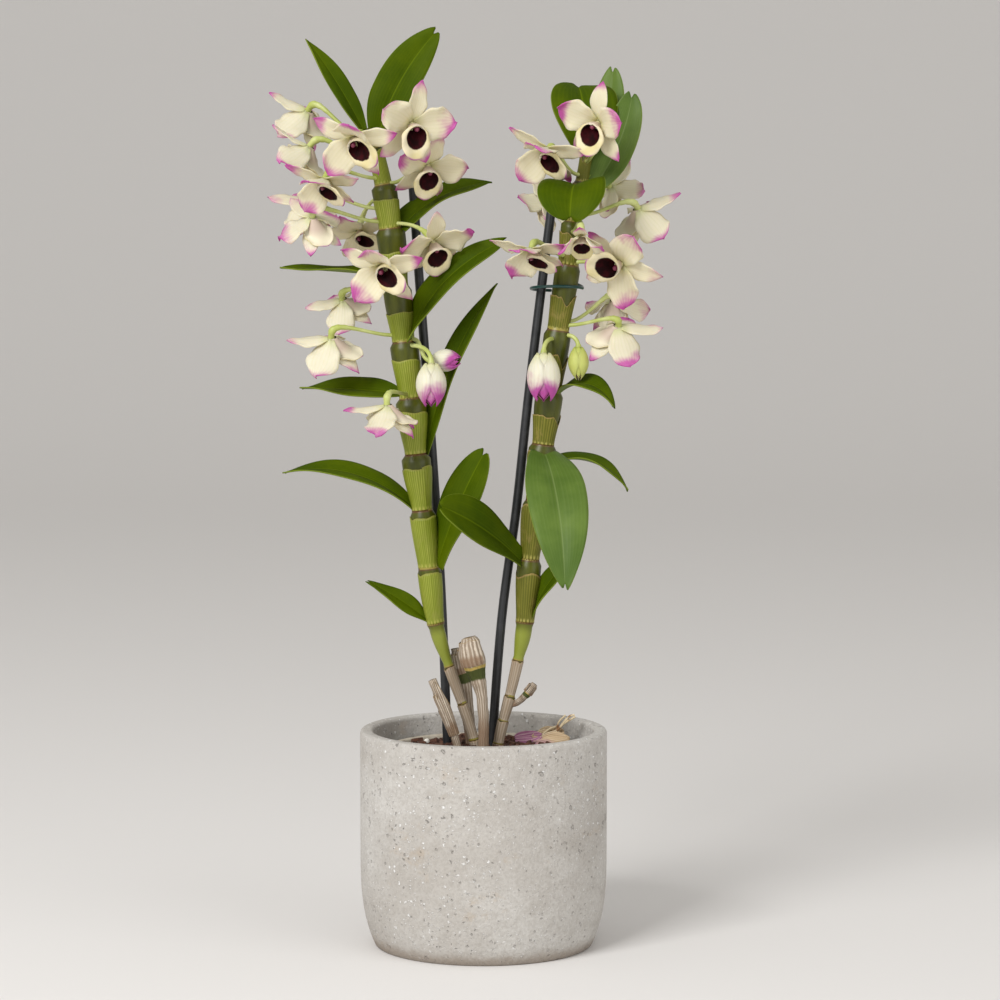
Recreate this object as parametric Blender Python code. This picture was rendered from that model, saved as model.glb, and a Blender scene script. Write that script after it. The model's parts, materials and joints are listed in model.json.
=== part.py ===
"""Potted orchid: two flowering canes in a nursery pot, standing in a cast cement cover pot.

Lengths are in millimetres until a piece is made, and heights on the plant count from the
top of the bark. +X is to the right, -Y is the front and +Z is up. The origin is the centre
of the cover pot's flat foot.
"""

import math
import random

import bmesh
import bpy
from mathutils import Matrix, Vector

for leftover in list(bpy.data.objects):
    bpy.data.objects.remove(leftover, do_unlink=True)

MM = 0.001

# Driving sizes
GAP = 0.3
POT_RADIUS = 75.0
POT_HEIGHT = 132.0
POT_WALL = 8.0
POT_FLOOR = 10.0
POT_FOOT_INSET = 9.0
POT_FOOT_CURVE = 60.0
RIM_ROUND = 2.4
NURSERY_SIDE_CLEARANCE = 7.0
NURSERY_BELOW_RIM = 11.5
NURSERY_LIP = 2.4
NURSERY_LIP_DEPTH = 7.0
NURSERY_WALL = 1.2
NURSERY_TAPER = 14.0
MIX_SIDE_PLAY = 1.0 / 192.0
BARK_BELOW_LIP = 3.5
STAKE_RADIUS = 2.8
STAKE_DEPTH = 70.0
CANE_DEPTH = 14.0
CANE_GIRTH = 1.0
CLIP_WIRE_RADIUS = 0.8
CLIP_HEIGHT = 282.0
LEAF_THICKNESS = 0.9
TEPAL_THICKNESS = 0.8
STALK_RADIUS = 1.1

BARK_TOP = POT_HEIGHT - NURSERY_BELOW_RIM - BARK_BELOW_LIP

potted_orchid = bpy.data.objects.new("potted_orchid", None)
bpy.context.collection.objects.link(potted_orchid)


def finish(name, colour, roughness):
    """A plain Principled material."""
    material = bpy.data.materials.new(name)
    material.use_nodes = True
    shader = material.node_tree.nodes["Principled BSDF"]
    shader.inputs["Base Color"].default_value = (*colour, 1.0)
    shader.inputs["Roughness"].default_value = roughness
    shader.inputs["Metallic"].default_value = 0.0
    return material


def make_piece(name, bm, material, origin=Vector((0.0, 0.0, 0.0)), sharp_angle=35.0):
    """Turn a millimetre mesh into an object with its origin where the piece is fixed."""
    bmesh.ops.remove_doubles(bm, verts=bm.verts, dist=0.001)
    bmesh.ops.recalc_face_normals(bm, faces=bm.faces)
    mesh = bpy.data.meshes.new(name)
    bm.to_mesh(mesh)
    bm.free()
    mesh.transform(Matrix.Scale(MM, 4) @ Matrix.Translation(-origin))
    mesh.shade_smooth()
    mesh.set_sharp_from_angle(angle=math.radians(sharp_angle))
    mesh.materials.append(material)
    piece = bpy.data.objects.new(name, mesh)
    bpy.context.collection.objects.link(piece)
    piece.parent = potted_orchid
    piece.location = origin * MM
    return piece


def turned(outline, segments):
    """A solid of revolution from an (r, z) outline that starts and ends on the axis."""
    bm = bmesh.new()
    corners = [bm.verts.new((radius, 0.0, height)) for radius, height in outline]
    edges = [bm.edges.new(pair) for pair in zip(corners, corners[1:])]
    bmesh.ops.spin(bm, geom=corners + edges, cent=(0.0, 0.0, 0.0), axis=(0.0, 0.0, 1.0),
                   angle=math.tau, steps=segments, use_merge=True)
    bmesh.ops.remove_doubles(bm, verts=bm.verts, dist=0.001)
    return bm


def smooth_path(points, per_span):
    """Points on a smooth curve through the given points."""
    points = [Vector(point) for point in points]
    before = points[0] * 2 - points[1]
    after = points[-1] * 2 - points[-2]
    padded = [before, *points, after]
    path = []
    for a, b, c, d in zip(padded, padded[1:], padded[2:], padded[3:]):
        for step in range(per_span):
            t = step / per_span
            path.append(0.5 * (2 * b + (c - a) * t + (2 * a - 5 * b + 4 * c - d) * t * t
                               + (3 * b - a - 3 * c + d) * t ** 3))
    path.append(points[-1])
    return path


def frames_along(path):
    """A frame at each point of a path, +Z along it, turned as little as possible."""
    frames = []
    ahead = (path[1] - path[0]).normalized()
    turn = ahead.to_track_quat("Z", "Y")
    for index, point in enumerate(path):
        nearest = path[max(index - 1, 0)]
        farthest = path[min(index + 1, len(path) - 1)]
        direction = (farthest - nearest).normalized()
        turn = ahead.rotation_difference(direction) @ turn
        ahead = direction
        frames.append(Matrix.Translation(point) @ turn.to_matrix().to_4x4())
    return frames


def loft(bm, face, stations):
    """Extrude a face through stations of (frame, half width, half thickness)."""
    frame, across, through = stations[0]
    into_frame = frame.inverted()
    outline = []
    for vert in face.verts:
        corner = into_frame @ vert.co
        outline.append((corner.x / across, corner.y / through))
    for frame, across, through in stations[1:]:
        face = bmesh.ops.extrude_discrete_faces(bm, faces=[face])["faces"][0]
        for vert, (x, y) in zip(face.verts, outline):
            vert.co = frame @ Vector((x * across, y * through, 0.0))
    return face


def rod(path, radii, sides, flatness=1.0):
    """A closed round or flattened rod along a path."""
    bm = bmesh.new()
    frames = frames_along(path)
    start = bmesh.ops.create_circle(bm, cap_ends=True, segments=sides, radius=1.0)
    face = start["verts"][0].link_faces[0]
    bmesh.ops.transform(bm, verts=bm.verts,
                        matrix=frames[0] @ Matrix.Diagonal((radii[0], radii[0] * flatness, 1.0, 1.0)))
    loft(bm, face, [(frame, radius, radius * flatness) for frame, radius in zip(frames, radii)])
    bmesh.ops.holes_fill(bm, edges=[edge for edge in bm.edges if edge.is_boundary])
    return bm


def above_bark(x, y, height):
    """A point given by its height above the bark."""
    return Vector((x, y, BARK_TOP + height))


# Cover pot: one cast shell with a rounded foot and rim
def pot_radius(height):
    """Outer radius of the cover pot, drawn in towards its foot."""
    rise = min(height / POT_FOOT_CURVE, 1.0)
    return POT_RADIUS - POT_FOOT_INSET * (1.0 - rise) ** 3.2


def rim_arc(centre_radius, centre_height, start_angle):
    """Three points of a quarter round at the rim."""
    arc = []
    for step in range(3):
        angle = math.radians(start_angle + 45.0 * step)
        arc.append((centre_radius + RIM_ROUND * math.cos(angle),
                    centre_height + RIM_ROUND * math.sin(angle)))
    return arc


outline = [(0.0, 0.0)]
for share in (0.0, 0.025, 0.06, 0.12, 0.2, 0.31, 0.46):
    outline.append((pot_radius(share * POT_HEIGHT), share * POT_HEIGHT))
outline += rim_arc(POT_RADIUS - RIM_ROUND, POT_HEIGHT - RIM_ROUND, 0.0)
outline += rim_arc(POT_RADIUS - POT_WALL + RIM_ROUND, POT_HEIGHT - RIM_ROUND, 90.0)
for share in (0.46, 0.2):
    outline.append((pot_radius(share * POT_HEIGHT) - POT_WALL, share * POT_HEIGHT))
outline.append((pot_radius(POT_FLOOR) - POT_WALL - 1.0, POT_FLOOR + 2.0))
outline.append((pot_radius(POT_FLOOR) - POT_WALL - 5.0, POT_FLOOR))
outline.append((0.0, POT_FLOOR))
cement = finish("cement", (0.62, 0.60, 0.56), 0.85)
make_piece("cover_pot", turned(outline, 40), cement)

# Nursery pot: thin tapered plastic pot with a thick lip, standing on the cover pot's floor
NURSERY_TOP = POT_HEIGHT - NURSERY_BELOW_RIM
NURSERY_BASE = POT_FLOOR + GAP
lip_radius = POT_RADIUS - POT_WALL - NURSERY_SIDE_CLEARANCE
body_radius = lip_radius - NURSERY_LIP
base_radius = body_radius - NURSERY_TAPER
lip_foot = NURSERY_TOP - NURSERY_LIP_DEPTH
outline = [
    (0.0, NURSERY_BASE),
    (base_radius, NURSERY_BASE),
    (body_radius, lip_foot),
    (lip_radius, lip_foot),
    (lip_radius, NURSERY_TOP),
    (body_radius - NURSERY_WALL, NURSERY_TOP),
    (body_radius - NURSERY_WALL, lip_foot),
    (base_radius - NURSERY_WALL, NURSERY_BASE + NURSERY_WALL),
    (0.0, NURSERY_BASE + NURSERY_WALL),
]
plastic = finish("nursery_plastic", (0.78, 0.75, 0.66), 0.45)
make_piece("nursery_pot", turned(outline, 32), plastic)


# Canes: each joint is slim at its foot and swells to a shoulder below the next ring
def cane_stations(rings):
    """Centres and radii up a cane, from rings of (x, y, height, waist, shoulder)."""
    swell = ((0.0, 0.0), (0.3, 0.3), (0.72, 0.92), (0.94, 1.0))
    centres = smooth_path([above_bark(*ring[:3]) for ring in rings], 50)
    stations = []
    for index, (here, following) in enumerate(zip(rings, rings[1:])):
        waist, shoulder = here[3], here[4]
        for along, share in swell:
            radius = waist + (shoulder - waist) * share
            stations.append((centres[50 * index + round(50 * along)], radius * CANE_GIRTH))
    stations.append((centres[-1], rings[-1][3] * CANE_GIRTH))
    return stations


LEFT_RINGS = (
    (-2, 2, -CANE_DEPTH, 3.2, 3.0), (-6, 2, 8, 2.8, 3.0), (-13, 2, 30, 2.6, 3.2),
    (-21, 2, 53, 2.7, 4.6), (-29, 1, 79, 5.0, 7.0), (-33, 0, 113, 6.0, 7.6),
    (-37, 0, 148, 5.8, 8.8), (-41, 0, 182, 6.0, 9.2), (-44, 0, 216, 6.4, 8.6),
    (-48, 0, 250, 6.4, 8.6), (-52, 0, 283, 6.6, 8.8), (-56, 0, 318, 6.4, 7.6),
    (-60, 0, 344, 5.0, 4.6), (-65, 0, 366, 3.6, 3.4), (-69, 0, 378, 2.6, 2.6),
)
RIGHT_RINGS = (
    (6, 0, -CANE_DEPTH, 3.2, 3.0), (9, 0, 6, 2.8, 3.2), (12, 0, 20, 2.7, 3.3),
    (16, 0, 35, 2.7, 3.2), (21, 0, 57, 3.0, 5.0), (25, 0, 80, 5.2, 7.4),
    (28, 0, 118, 5.4, 8.0), (32, 0, 154, 6.0, 8.4), (36, 0, 188, 6.2, 8.4),
    (40, 0, 220, 6.4, 8.2), (45, 0, 257, 6.2, 7.6), (51, 0, 296, 6.0, 7.0),
    (54, 0, 322, 4.6, 4.8), (59, 0, 346, 3.6, 3.4), (62, 0, 364, 2.6, 2.6),
)
LEFT = cane_stations(LEFT_RINGS)
RIGHT = cane_stations(RIGHT_RINGS)


def cane_at(cane, height):
    """Centre of a cane and its radius at a height above the bark."""
    level = BARK_TOP + height
    for (low, low_radius), (high, high_radius) in zip(cane, cane[1:]):
        if low.z <= level <= high.z:
            t = (level - low.z) / (high.z - low.z)
            return low.lerp(high, t), low_radius + (high_radius - low_radius) * t
    return cane[-1]


def on_cane(cane, height, towards):
    """A point just off a cane's skin, on the side that faces the given direction."""
    centre, _ = cane_at(cane, height)
    reach = 0.0
    for lift in (-2.0, -1.0, 0.0, 1.0, 2.0):
        reach = max(reach, cane_at(cane, height + lift)[1])
    flat = Vector((towards[0], towards[1], 0.0)).normalized()
    return centre + flat * (reach + GAP + 0.2)


cane_skin = finish("cane", (0.33, 0.40, 0.08), 0.5)
for name, cane in (("cane_left", LEFT), ("cane_right", RIGHT)):
    body = rod([centre for centre, _ in cane], [radius for _, radius in cane], 10)
    make_piece(name, body, cane_skin, cane[0][0])

# Old canes that flowered in past seasons, cut back and dried
OLD_CANES = {
    "old_cane_thin": (((-13, -9, -CANE_DEPTH), (-16, -9, 6), (-22, -9, 24), (-31, -9, 46)),
                      (2.4, 2.4, 2.9, 2.6)),
    "old_cane_back": (((-6, 13, -CANE_DEPTH), (-8, 13, 8), (-10, 14, 24), (-12, 14, 40), (-15, 15, 52),
                       (-17, 15, 62)), (3.4, 3.4, 4.0, 4.6, 4.2, 3.0)),
    "old_cane_front": (((0, -12, -CANE_DEPTH), (0, -12, 6), (0, -12, 22), (-1, -12, 36), (-3, -12, 46),
                        (-6, -12, 58), (-8, -12, 68), (-9, -12, 72)),
                       (3.2, 3.2, 3.2, 4.4, 5.2, 8.0, 5.6, 3.2)),
}
dry_sheath = finish("dry_sheath", (0.60, 0.53, 0.42), 0.75)
for name, (route, radii) in OLD_CANES.items():
    path = [above_bark(*point) for point in route]
    make_piece(name, rod(path, radii, 9), dry_sheath, path[0])

stub_start = on_cane(RIGHT, 31.0, (1.0, -0.1)) + Vector((1.4, 0.0, 0.0))
stub = [stub_start, stub_start + Vector((6.0, -1.0, 5.0)), stub_start + Vector((11.0, -1.5, 11.5))]
make_piece("old_cane_side", rod(stub, (1.7, 2.3, 1.9), 8), dry_sheath, stub_start)

# Support stakes pushed through the bark, the right one just behind the foot of its cane
stake_behind = STAKE_RADIUS + 3.2 * CANE_GIRTH
STAKES = {
    "stake_left": ((-19, 13, -STAKE_DEPTH), (-22, 13, 0), (-26, 13, 100), (-32, 12, 195), (-39, 12, 290),
                   (-44, 12, 368)),
    "stake_right": ((2, stake_behind, -STAKE_DEPTH), (5, stake_behind, 0), (11, stake_behind, 81),
                    (20, stake_behind, 149), (27, stake_behind, 215), (35, stake_behind, CLIP_HEIGHT),
                    (42, stake_behind, 338)),
}
stake_plastic = finish("stake_plastic", (0.02, 0.022, 0.025), 0.4)
for name, route in STAKES.items():
    path = smooth_path([above_bark(*point) for point in route], 2)
    make_piece(name, rod(path, [STAKE_RADIUS] * len(path), 8), stake_plastic, path[0])

# Wire ring clip, one open turn round the right cane and its stake
CLIP_TURN = 330.0
CLIP_STEPS = 22
clip_cane, clip_cane_radius = cane_at(RIGHT, CLIP_HEIGHT)
clip_stake = above_bark(35.0, stake_behind, CLIP_HEIGHT)
clip_room = GAP + CLIP_WIRE_RADIUS + 2.0
clip_left = clip_stake.x - STAKE_RADIUS - clip_room
clip_right = clip_cane.x + clip_cane_radius + clip_room
clip_centre = Vector(((clip_left + clip_right) / 2, (clip_cane.y + clip_stake.y) / 2, clip_cane.z))
clip_long = (clip_right - clip_left) / 2
clip_deep = clip_cane_radius + clip_room + (clip_stake.y - clip_cane.y) / 2
clip_path = []
for step in range(CLIP_STEPS + 1):
    angle = math.radians(70.0 - CLIP_TURN * step / CLIP_STEPS)
    clip_path.append(clip_centre + Vector((clip_long * math.cos(angle), clip_deep * math.sin(angle), 0.0)))
wire_green = finish("green_wire", (0.02, 0.10, 0.08), 0.35)
make_piece("ring_clip", rod(clip_path, [CLIP_WIRE_RADIUS] * len(clip_path), 6), wire_green, clip_path[0])

# Bark mix: fills the nursery pot, with a socket for each cane and stake
SOCKETS = [(LEFT[0][0], LEFT[4][0], 3.6 * CANE_GIRTH), (RIGHT[0][0], RIGHT[4][0], 3.6 * CANE_GIRTH)]
for route, radii in OLD_CANES.values():
    SOCKETS.append((above_bark(*route[0]), above_bark(*route[1]), max(radii[:2])))
for route in STAKES.values():
    SOCKETS.append((above_bark(*route[0]), above_bark(*route[1]), STAKE_RADIUS))
SOCKET_PLAY = GAP + 0.5

mix_bottom = NURSERY_BASE + NURSERY_WALL + GAP
mix_side = NURSERY_WALL + body_radius * MIX_SIDE_PLAY
mix_radius = body_radius - mix_side
outline = [
    (0.0, mix_bottom),
    (base_radius - mix_side, mix_bottom),
    (mix_radius, lip_foot),
    (mix_radius, BARK_TOP),
]
for share in (0.86, 0.64, 0.4, 0.2):
    outline.append((mix_radius * share, BARK_TOP))
outline.append((0.0, BARK_TOP))
mix = turned(outline, 28)
lumps = random.Random(7)
for vert in mix.verts:
    if vert.co.z > BARK_TOP - 0.01 and vert.co.xy.length < mix_radius - 1.0:
        vert.co.z += lumps.uniform(-1.6, 1.2)
bark = finish("bark", (0.09, 0.045, 0.025), 0.95)
bark_mix = make_piece("bark_mix", mix, bark)
for number, (foot, top, radius) in enumerate(SOCKETS):
    along = (top - foot).normalized()
    cutter = make_piece(f"socket_{number}", rod([foot - along * SOCKET_PLAY, top + along * 12.0],
                                                [radius + SOCKET_PLAY] * 2, 10), bark, foot)
    cutter.hide_render = True
    cutter.display_type = "WIRE"
    cut = bark_mix.modifiers.new(f"socket_{number}", "BOOLEAN")
    cut.object = cutter
    cut.operation = "DIFFERENCE"


# Leaves: strap blades with a folded midrib and a notched tip, each from its ring on a cane
LEAF_FOOT = 0.22
LEAF_ROWS = (0.0, 0.1, 0.28, 0.5, 0.72, 0.9, 1.0)


def leaf_half_width(along, width):
    """Half the blade's width at a share of its length."""
    foot = LEAF_FOOT + (1.0 - LEAF_FOOT) * math.sin(min(along / 0.38, 1.0) * math.pi / 2)
    tip = (1.0 - max(along - 0.45, 0.0) ** 2.2 / 0.55 ** 2.2 * 0.86) ** 0.75
    return width / 2 * foot * tip


def make_leaf(name, cane, height, heading, length, width, rise, roll, fold=18.0, sweep=0.0):
    """One blade: rise, roll and sweep in degrees, rise and roll each at its foot and at its tip."""
    bm = bmesh.new()
    bmesh.ops.create_grid(bm, x_segments=2, y_segments=len(LEAF_ROWS) - 1, size=1.0)
    outward = math.radians(heading)
    room = LEAF_THICKNESS + width / 2 * LEAF_FOOT * abs(math.sin(math.radians(roll[0])))
    away = Vector((math.cos(outward), math.sin(outward), 0.0))
    point = on_cane(cane, height, away) + away * room
    origin = point.copy()
    steps = 24
    line = []
    for step in range(steps + 1):
        share = step / steps
        climb = math.radians(rise[0] + (rise[1] - rise[0]) * share)
        turn = outward + math.radians(sweep * share)
        ahead = Vector((math.cos(turn) * math.cos(climb), math.sin(turn) * math.cos(climb), math.sin(climb)))
        level = Vector((-math.sin(turn), math.cos(turn), 0.0))
        tilt = math.radians(roll[0] + (roll[1] - roll[0]) * share)
        side = Matrix.Rotation(tilt, 3, ahead) @ level
        line.append((point, side, ahead.cross(side)))
        point = point + ahead * (length / steps)
    rows = sorted({round(vert.co.y, 4) for vert in bm.verts})
    for vert in bm.verts:
        share = LEAF_ROWS[rows.index(round(vert.co.y, 4))]
        column = round(vert.co.x)
        if share == 1.0 and column == 0:
            share = 0.965
        centre, side, upper = line[round(share * steps)]
        half = leaf_half_width(share, width)
        lift = math.radians(fold) * (1.0 - 0.4 * share)
        vert.co = centre + column * half * (side * math.cos(lift) + upper * math.sin(lift) * column)
    bm.normal_update()
    bmesh.ops.solidify(bm, geom=bm.faces, thickness=LEAF_THICKNESS)
    return make_piece(name, bm, leaf_green, origin, 50.0)


leaf_green = finish("leaf", (0.07, 0.17, 0.02), 0.4)
LEAVES = (
    ("leaf_left_01", LEFT, 376, 180, 64, 14, (64, 52), (-60, -55)),
    ("leaf_left_02", LEFT, 374, 0, 72, 28, (74, 46), (72, 76)),
    ("leaf_left_03", LEFT, 318, 12, 62, 21, (48, 4), (30, 25)),
    ("leaf_left_04", LEFT, 290, 178, 62, 18, (6, 2), (-10, -8)),
    ("leaf_left_05", LEFT, 252, -40, 86, 25, (66, 22), (50, 45), 18, 54),
    ("leaf_left_06", LEFT, 182, 6, 112, 20, (80, 54), (35, 30)),
    ("leaf_left_07", LEFT, 219, 180, 58, 22, (6, 0), (-45, -10)),
    ("leaf_left_08", LEFT, 149, 180, 84, 20, (44, -14), (-30, -20)),
    ("leaf_left_09", LEFT, 115, -30, 76, 28, (72, 60), (58, 70), 8, 20),
    ("leaf_left_10", LEFT, 81, 182, 43, 12, (40, 26), (-60, -45)),
    ("leaf_right_01", RIGHT, 361, 98, 55, 42, (95, 20), (0, 0), 22),
    ("leaf_right_02", RIGHT, 348, 62, 80, 24, (36, 84), (0, 0)),
    ("leaf_right_03", RIGHT, 337, 10, 68, 24, (50, 82), (62, 62)),
    ("leaf_right_04", RIGHT, 338, -98, 54, 41, (38, -80), (0, 0), 16),
    ("leaf_right_05", RIGHT, 218, -30, 44, 20, (45, -65), (20, 10)),
    ("leaf_right_06", RIGHT, 177, 0, 52, 20, (20, -60), (12, 10)),
    ("leaf_right_07", RIGHT, 184, -79, 100, 36, (-20, -84), (0, 12), 8),
    ("leaf_right_08", RIGHT, 118, -140, 71, 29, (40, 20), (-66, -64)),
    ("leaf_right_09", RIGHT, 83, -30, 54, 15, (70, 34), (50, 45), 18, 20),
)
for leaf in LEAVES:
    make_leaf(*leaf)

# Flowers: three sepals, two broad petals, a hollow trumpet lip and a stalk to the cane
HUB_RADIUS = 2.2
HUB_DEPTH = 2.4
SEPAL = (26.0, 12.0)
PETAL = (25.5, 18.5)
TEPAL_STATIONS = ((0.3, 0.72), (0.6, 1.0), (0.85, 0.72), (1.0, 0.14))
LIP_MOUTH = 10.0
LIP_CLOSING = 110.0
TIP_RELAX = 14.0
TEPALS = ((90, SEPAL, 0), (18, PETAL, 1), (162, PETAL, 1), (-54, SEPAL, 2), (234, SEPAL, 2))


def flower_frame(heart, face, up):
    """Frame of a flower: +Z out of its face and +Y towards its top sepal."""
    out = Vector(face).normalized()
    across = Vector(up).cross(out).normalized()
    upward = out.cross(across)
    return Matrix.Translation(heart) @ Matrix((across, upward, out)).transposed().to_4x4()


def tepal_stations(angle, length, width, tilt, hub_side):
    """Stations of one tepal that leaves the hub sideways and leans forward by tilt degrees."""
    radial = Vector((math.cos(math.radians(angle)), math.sin(math.radians(angle)), 0.0))
    across = Vector((-radial.y, radial.x, 0.0))
    point = radial * (HUB_RADIUS * math.cos(math.radians(36.0)))
    stations = []
    last = 0.0
    for share, girth in ((0.0, None), *TEPAL_STATIONS):
        lean = math.radians(tilt[0] + (tilt[1] - tilt[0]) * share) if share else 0.0
        ahead = radial * math.cos(lean) + Vector((0.0, 0.0, math.sin(lean)))
        point = point + ahead * (length * (share - last))
        last = share
        frame = Matrix((across, ahead.cross(across), ahead)).transposed().to_4x4()
        half = hub_side / 2 if girth is None else width / 2 * girth
        deep = HUB_DEPTH / 2 if girth is None else TEPAL_THICKNESS / 2
        stations.append((Matrix.Translation(point) @ frame, half, deep))
    return stations


def stalk_line(start, leave, heart, behind, steps):
    """Points from a flower's back to its cane, leaving both squarely."""
    reach = (heart - start).length * 0.4
    one, two, three, four = heart, heart + behind * reach, start + leave * reach, start
    line = []
    for step in range(steps + 1):
        t = step / steps
        line.append(one * (1 - t) ** 3 + two * (3 * t * (1 - t) ** 2)
                    + three * (3 * t * t * (1 - t)) + four * t ** 3)
    return line


def make_flower(name, cane, height, heart, face, up, size=1.0, lean=(6.0, 22.0, 8.0)):
    """One flower at its heart; lean is how far its top sepal, petals and low sepals lean forward."""
    heart = above_bark(*heart)
    frame = flower_frame(heart, face, up)
    inverse = frame.inverted()
    bm = bmesh.new()
    bmesh.ops.create_cone(bm, cap_ends=True, segments=5, radius1=HUB_RADIUS, radius2=HUB_RADIUS,
                          depth=HUB_DEPTH, matrix=Matrix.Rotation(math.radians(36.0), 4, "Z"))
    bm.normal_update()
    hub_side = 2 * HUB_RADIUS * math.sin(math.radians(36.0))
    sides = [side for side in bm.faces if abs(side.normal.z) < 0.5]
    front = max(bm.faces, key=lambda cap: cap.normal.z)
    back = min(bm.faces, key=lambda cap: cap.normal.z)
    for angle, (length, width), kind in TEPALS:
        radial = Vector((math.cos(math.radians(angle)), math.sin(math.radians(angle)), 0.0))
        side = max(sides, key=lambda wall: wall.normal.dot(radial))
        sides.remove(side)
        tilt = (lean[kind], lean[kind] - TIP_RELAX)
        loft(bm, side, tepal_stations(angle, length * size, width * size, tilt, hub_side))

    bmesh.ops.inset_individual(bm, faces=[front], thickness=0.3)
    bmesh.ops.subdivide_edges(bm, edges=list(front.edges), cuts=1)
    middle = max((cap for cap in bm.faces if cap.normal.z > 0.9), key=lambda cap: len(cap.verts))
    for vert in middle.verts:
        vert.co.xy = vert.co.xy.normalized() * (HUB_RADIUS - 0.7)
    lip = [(Matrix.Translation((0.0, 0.0, HUB_DEPTH / 2)), HUB_RADIUS - 0.7, HUB_RADIUS - 0.7)]
    mouth = LIP_MOUTH * (1.0 - lean[2] / LIP_CLOSING)
    for drop, ahead, nod, radius in ((0.24, 4.6, 10.0, mouth * 0.52), (0.66, 9.0, -16.0, mouth),
                                     (0.65, 9.8, -16.0, mouth - 1.4), (0.28, 5.0, 4.0, mouth * 0.38)):
        tip = Matrix.Translation((0.0, -drop * mouth * size, ahead * size))
        lip.append((tip @ Matrix.Rotation(math.radians(nod), 4, "X"), radius * size, radius * size))
    loft(bm, middle, lip)

    start = on_cane(cane, height, heart - cane_at(cane, height)[0])
    leave = (start - cane_at(cane, height)[0]).normalized()
    leave.z = 0.0
    root = frame @ Vector((0.0, 0.0, -HUB_DEPTH / 2))
    line = stalk_line(start, leave, root, -frame.col[2].xyz.normalized(), 6)
    line = [inverse @ point for point in line]
    stations = [(stalk, radius, radius) for stalk, radius in
                zip(frames_along(line), (HUB_RADIUS, 1.7, 1.3, STALK_RADIUS, STALK_RADIUS, STALK_RADIUS,
                                         STALK_RADIUS))]
    loft(bm, back, stations)
    bmesh.ops.transform(bm, verts=bm.verts, matrix=frame)
    return make_piece(name, bm, petal_cream, heart, 50.0)


petal_cream = finish("petal", (0.80, 0.76, 0.58), 0.6)
NODDING = (10.0, 36.0, 50.0)
HALF_OPEN = (26.0, 56.0, 12.0)
CUPPED = (6.0, 50.0, 8.0)
OPEN = (6.0, 34.0, 8.0)
FLOWERS = (
    ("flower_left_01", LEFT, 372, (-106, 18, 389), (-0.35, 0.5, -0.75), (-0.85, 0.1, 0.45), 0.95, NODDING),
    ("flower_left_02", LEFT, 360, (-104, -2, 367), (-0.5, 0.2, -0.84), (-0.85, 0.1, 0.53), 0.95, NODDING),
    ("flower_left_03", LEFT, 348, (-94, -26, 347), (-0.3, -0.5, -0.8), (-0.92, 0.05, 0.35), 0.9, CUPPED),
    ("flower_left_04", LEFT, 368, (-75, -42, 371), (-0.27, -0.77, -0.58), (-0.88, 0.0, 0.45), 1.0, CUPPED),
    ("flower_left_05", LEFT, 368, (-42, -36, 379), (0.5, -0.8, -0.3), (0.15, 0.0, 0.98), 1.0),
    ("flower_left_06", LEFT, 345, (-33, -11, 355), (0.3, -0.75, -0.6), (0.2, -0.1, 0.97), 0.9),
    ("flower_left_07", LEFT, 330, (-105, 18, 335), (-0.1, 0.6, -0.8), (-0.97, 0.0, 0.12), 0.95, NODDING),
    ("flower_left_08", LEFT, 322, (-102, -12, 325), (0.0, 0.6, -0.8), (-0.5, 0.6, 0.5), 0.9, NODDING),
    ("flower_left_09", LEFT, 336, (-76, 29, 316), (-0.1, -0.6, -0.75), (-0.6, 0.4, 0.3), 0.85),
    ("flower_left_10", LEFT, 321, (-30, -21, 310), (0.4, -0.6, -0.7), (0.1, -0.7, 0.65), 0.95),
    ("flower_left_11", LEFT, 286, (-59, -34, 296), (-0.3, -0.8, -0.5), (-0.9, 0.1, 0.35), 1.0, CUPPED),
    ("flower_left_12", LEFT, 280, (-86, 23, 275), (0.2, 0.6, -0.75), (-0.85, 0.1, -0.25), 0.85, NODDING),
    ("flower_left_13", LEFT, 254, (-91, -14, 253), (0.05, 0.5, -0.86), (-0.97, 0.05, 0.0), 1.0, NODDING),
    ("flower_left_14", LEFT, 219, (-57, -36, 214), (0.05, 0.2, -0.95), (-0.97, 0.0, 0.05), 0.95, NODDING),
    ("flower_right_01", RIGHT, 358, (68, -28, 380), (-0.55, -0.8, -0.25), (0.25, 0.0, 0.97), 0.95, OPEN),
    ("flower_right_02", RIGHT, 350, (38.4, -16, 365), (-0.4, -0.6, -0.65), (-0.88, 0.0, 0.45), 0.97, CUPPED),
    ("flower_right_03", RIGHT, 330, (40, 34, 333), (-0.6, 0.4, -0.7), (-0.4, 0.5, 0.75), 0.8),
    ("flower_right_04", RIGHT, 316, (57.5, -51, 314), (0, -0.5, -0.87), (-0.1, -0.87, 0.5), 0.72, HALF_OPEN),
    ("flower_right_05", RIGHT, 326, (93, 5, 330), (0.3, 0.5, -0.75), (0.9, 0.0, 0.4), 1.0, NODDING),
    ("flower_right_06", RIGHT, 338, (77, 38, 343), (0.5, 0.5, -0.7), (0.4, 0.3, 0.85), 0.85),
    ("flower_right_07", RIGHT, 302, (28.5, -29, 306), (-0.15, -0.42, -0.88), (-0.97, 0.0, 0.2), 0.92, OPEN),
    ("flower_right_08", RIGHT, 298, (82, -19, 297), (-0.4, -0.8, -0.4), (0.9, -0.3, -0.25), 1.0),
    ("flower_right_09", RIGHT, 262, (79, 18, 275), (0.1, 0.6, -0.75), (0.3, 0.75, 0.6), 0.9, NODDING),
    ("flower_right_10", RIGHT, 260, (81, -12, 260), (-0.1, 0.6, -0.8), (0.97, 0.05, -0.05), 1.0, NODDING),
)
for flower in FLOWERS:
    make_flower(*flower)

# Buds: closed flowers on the same stalks
BUD_SHAPE = ((0.0, 0.28), (0.15, 0.62), (0.4, 1.0), (0.7, 0.86), (0.9, 0.42), (1.0, 0.12))


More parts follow.
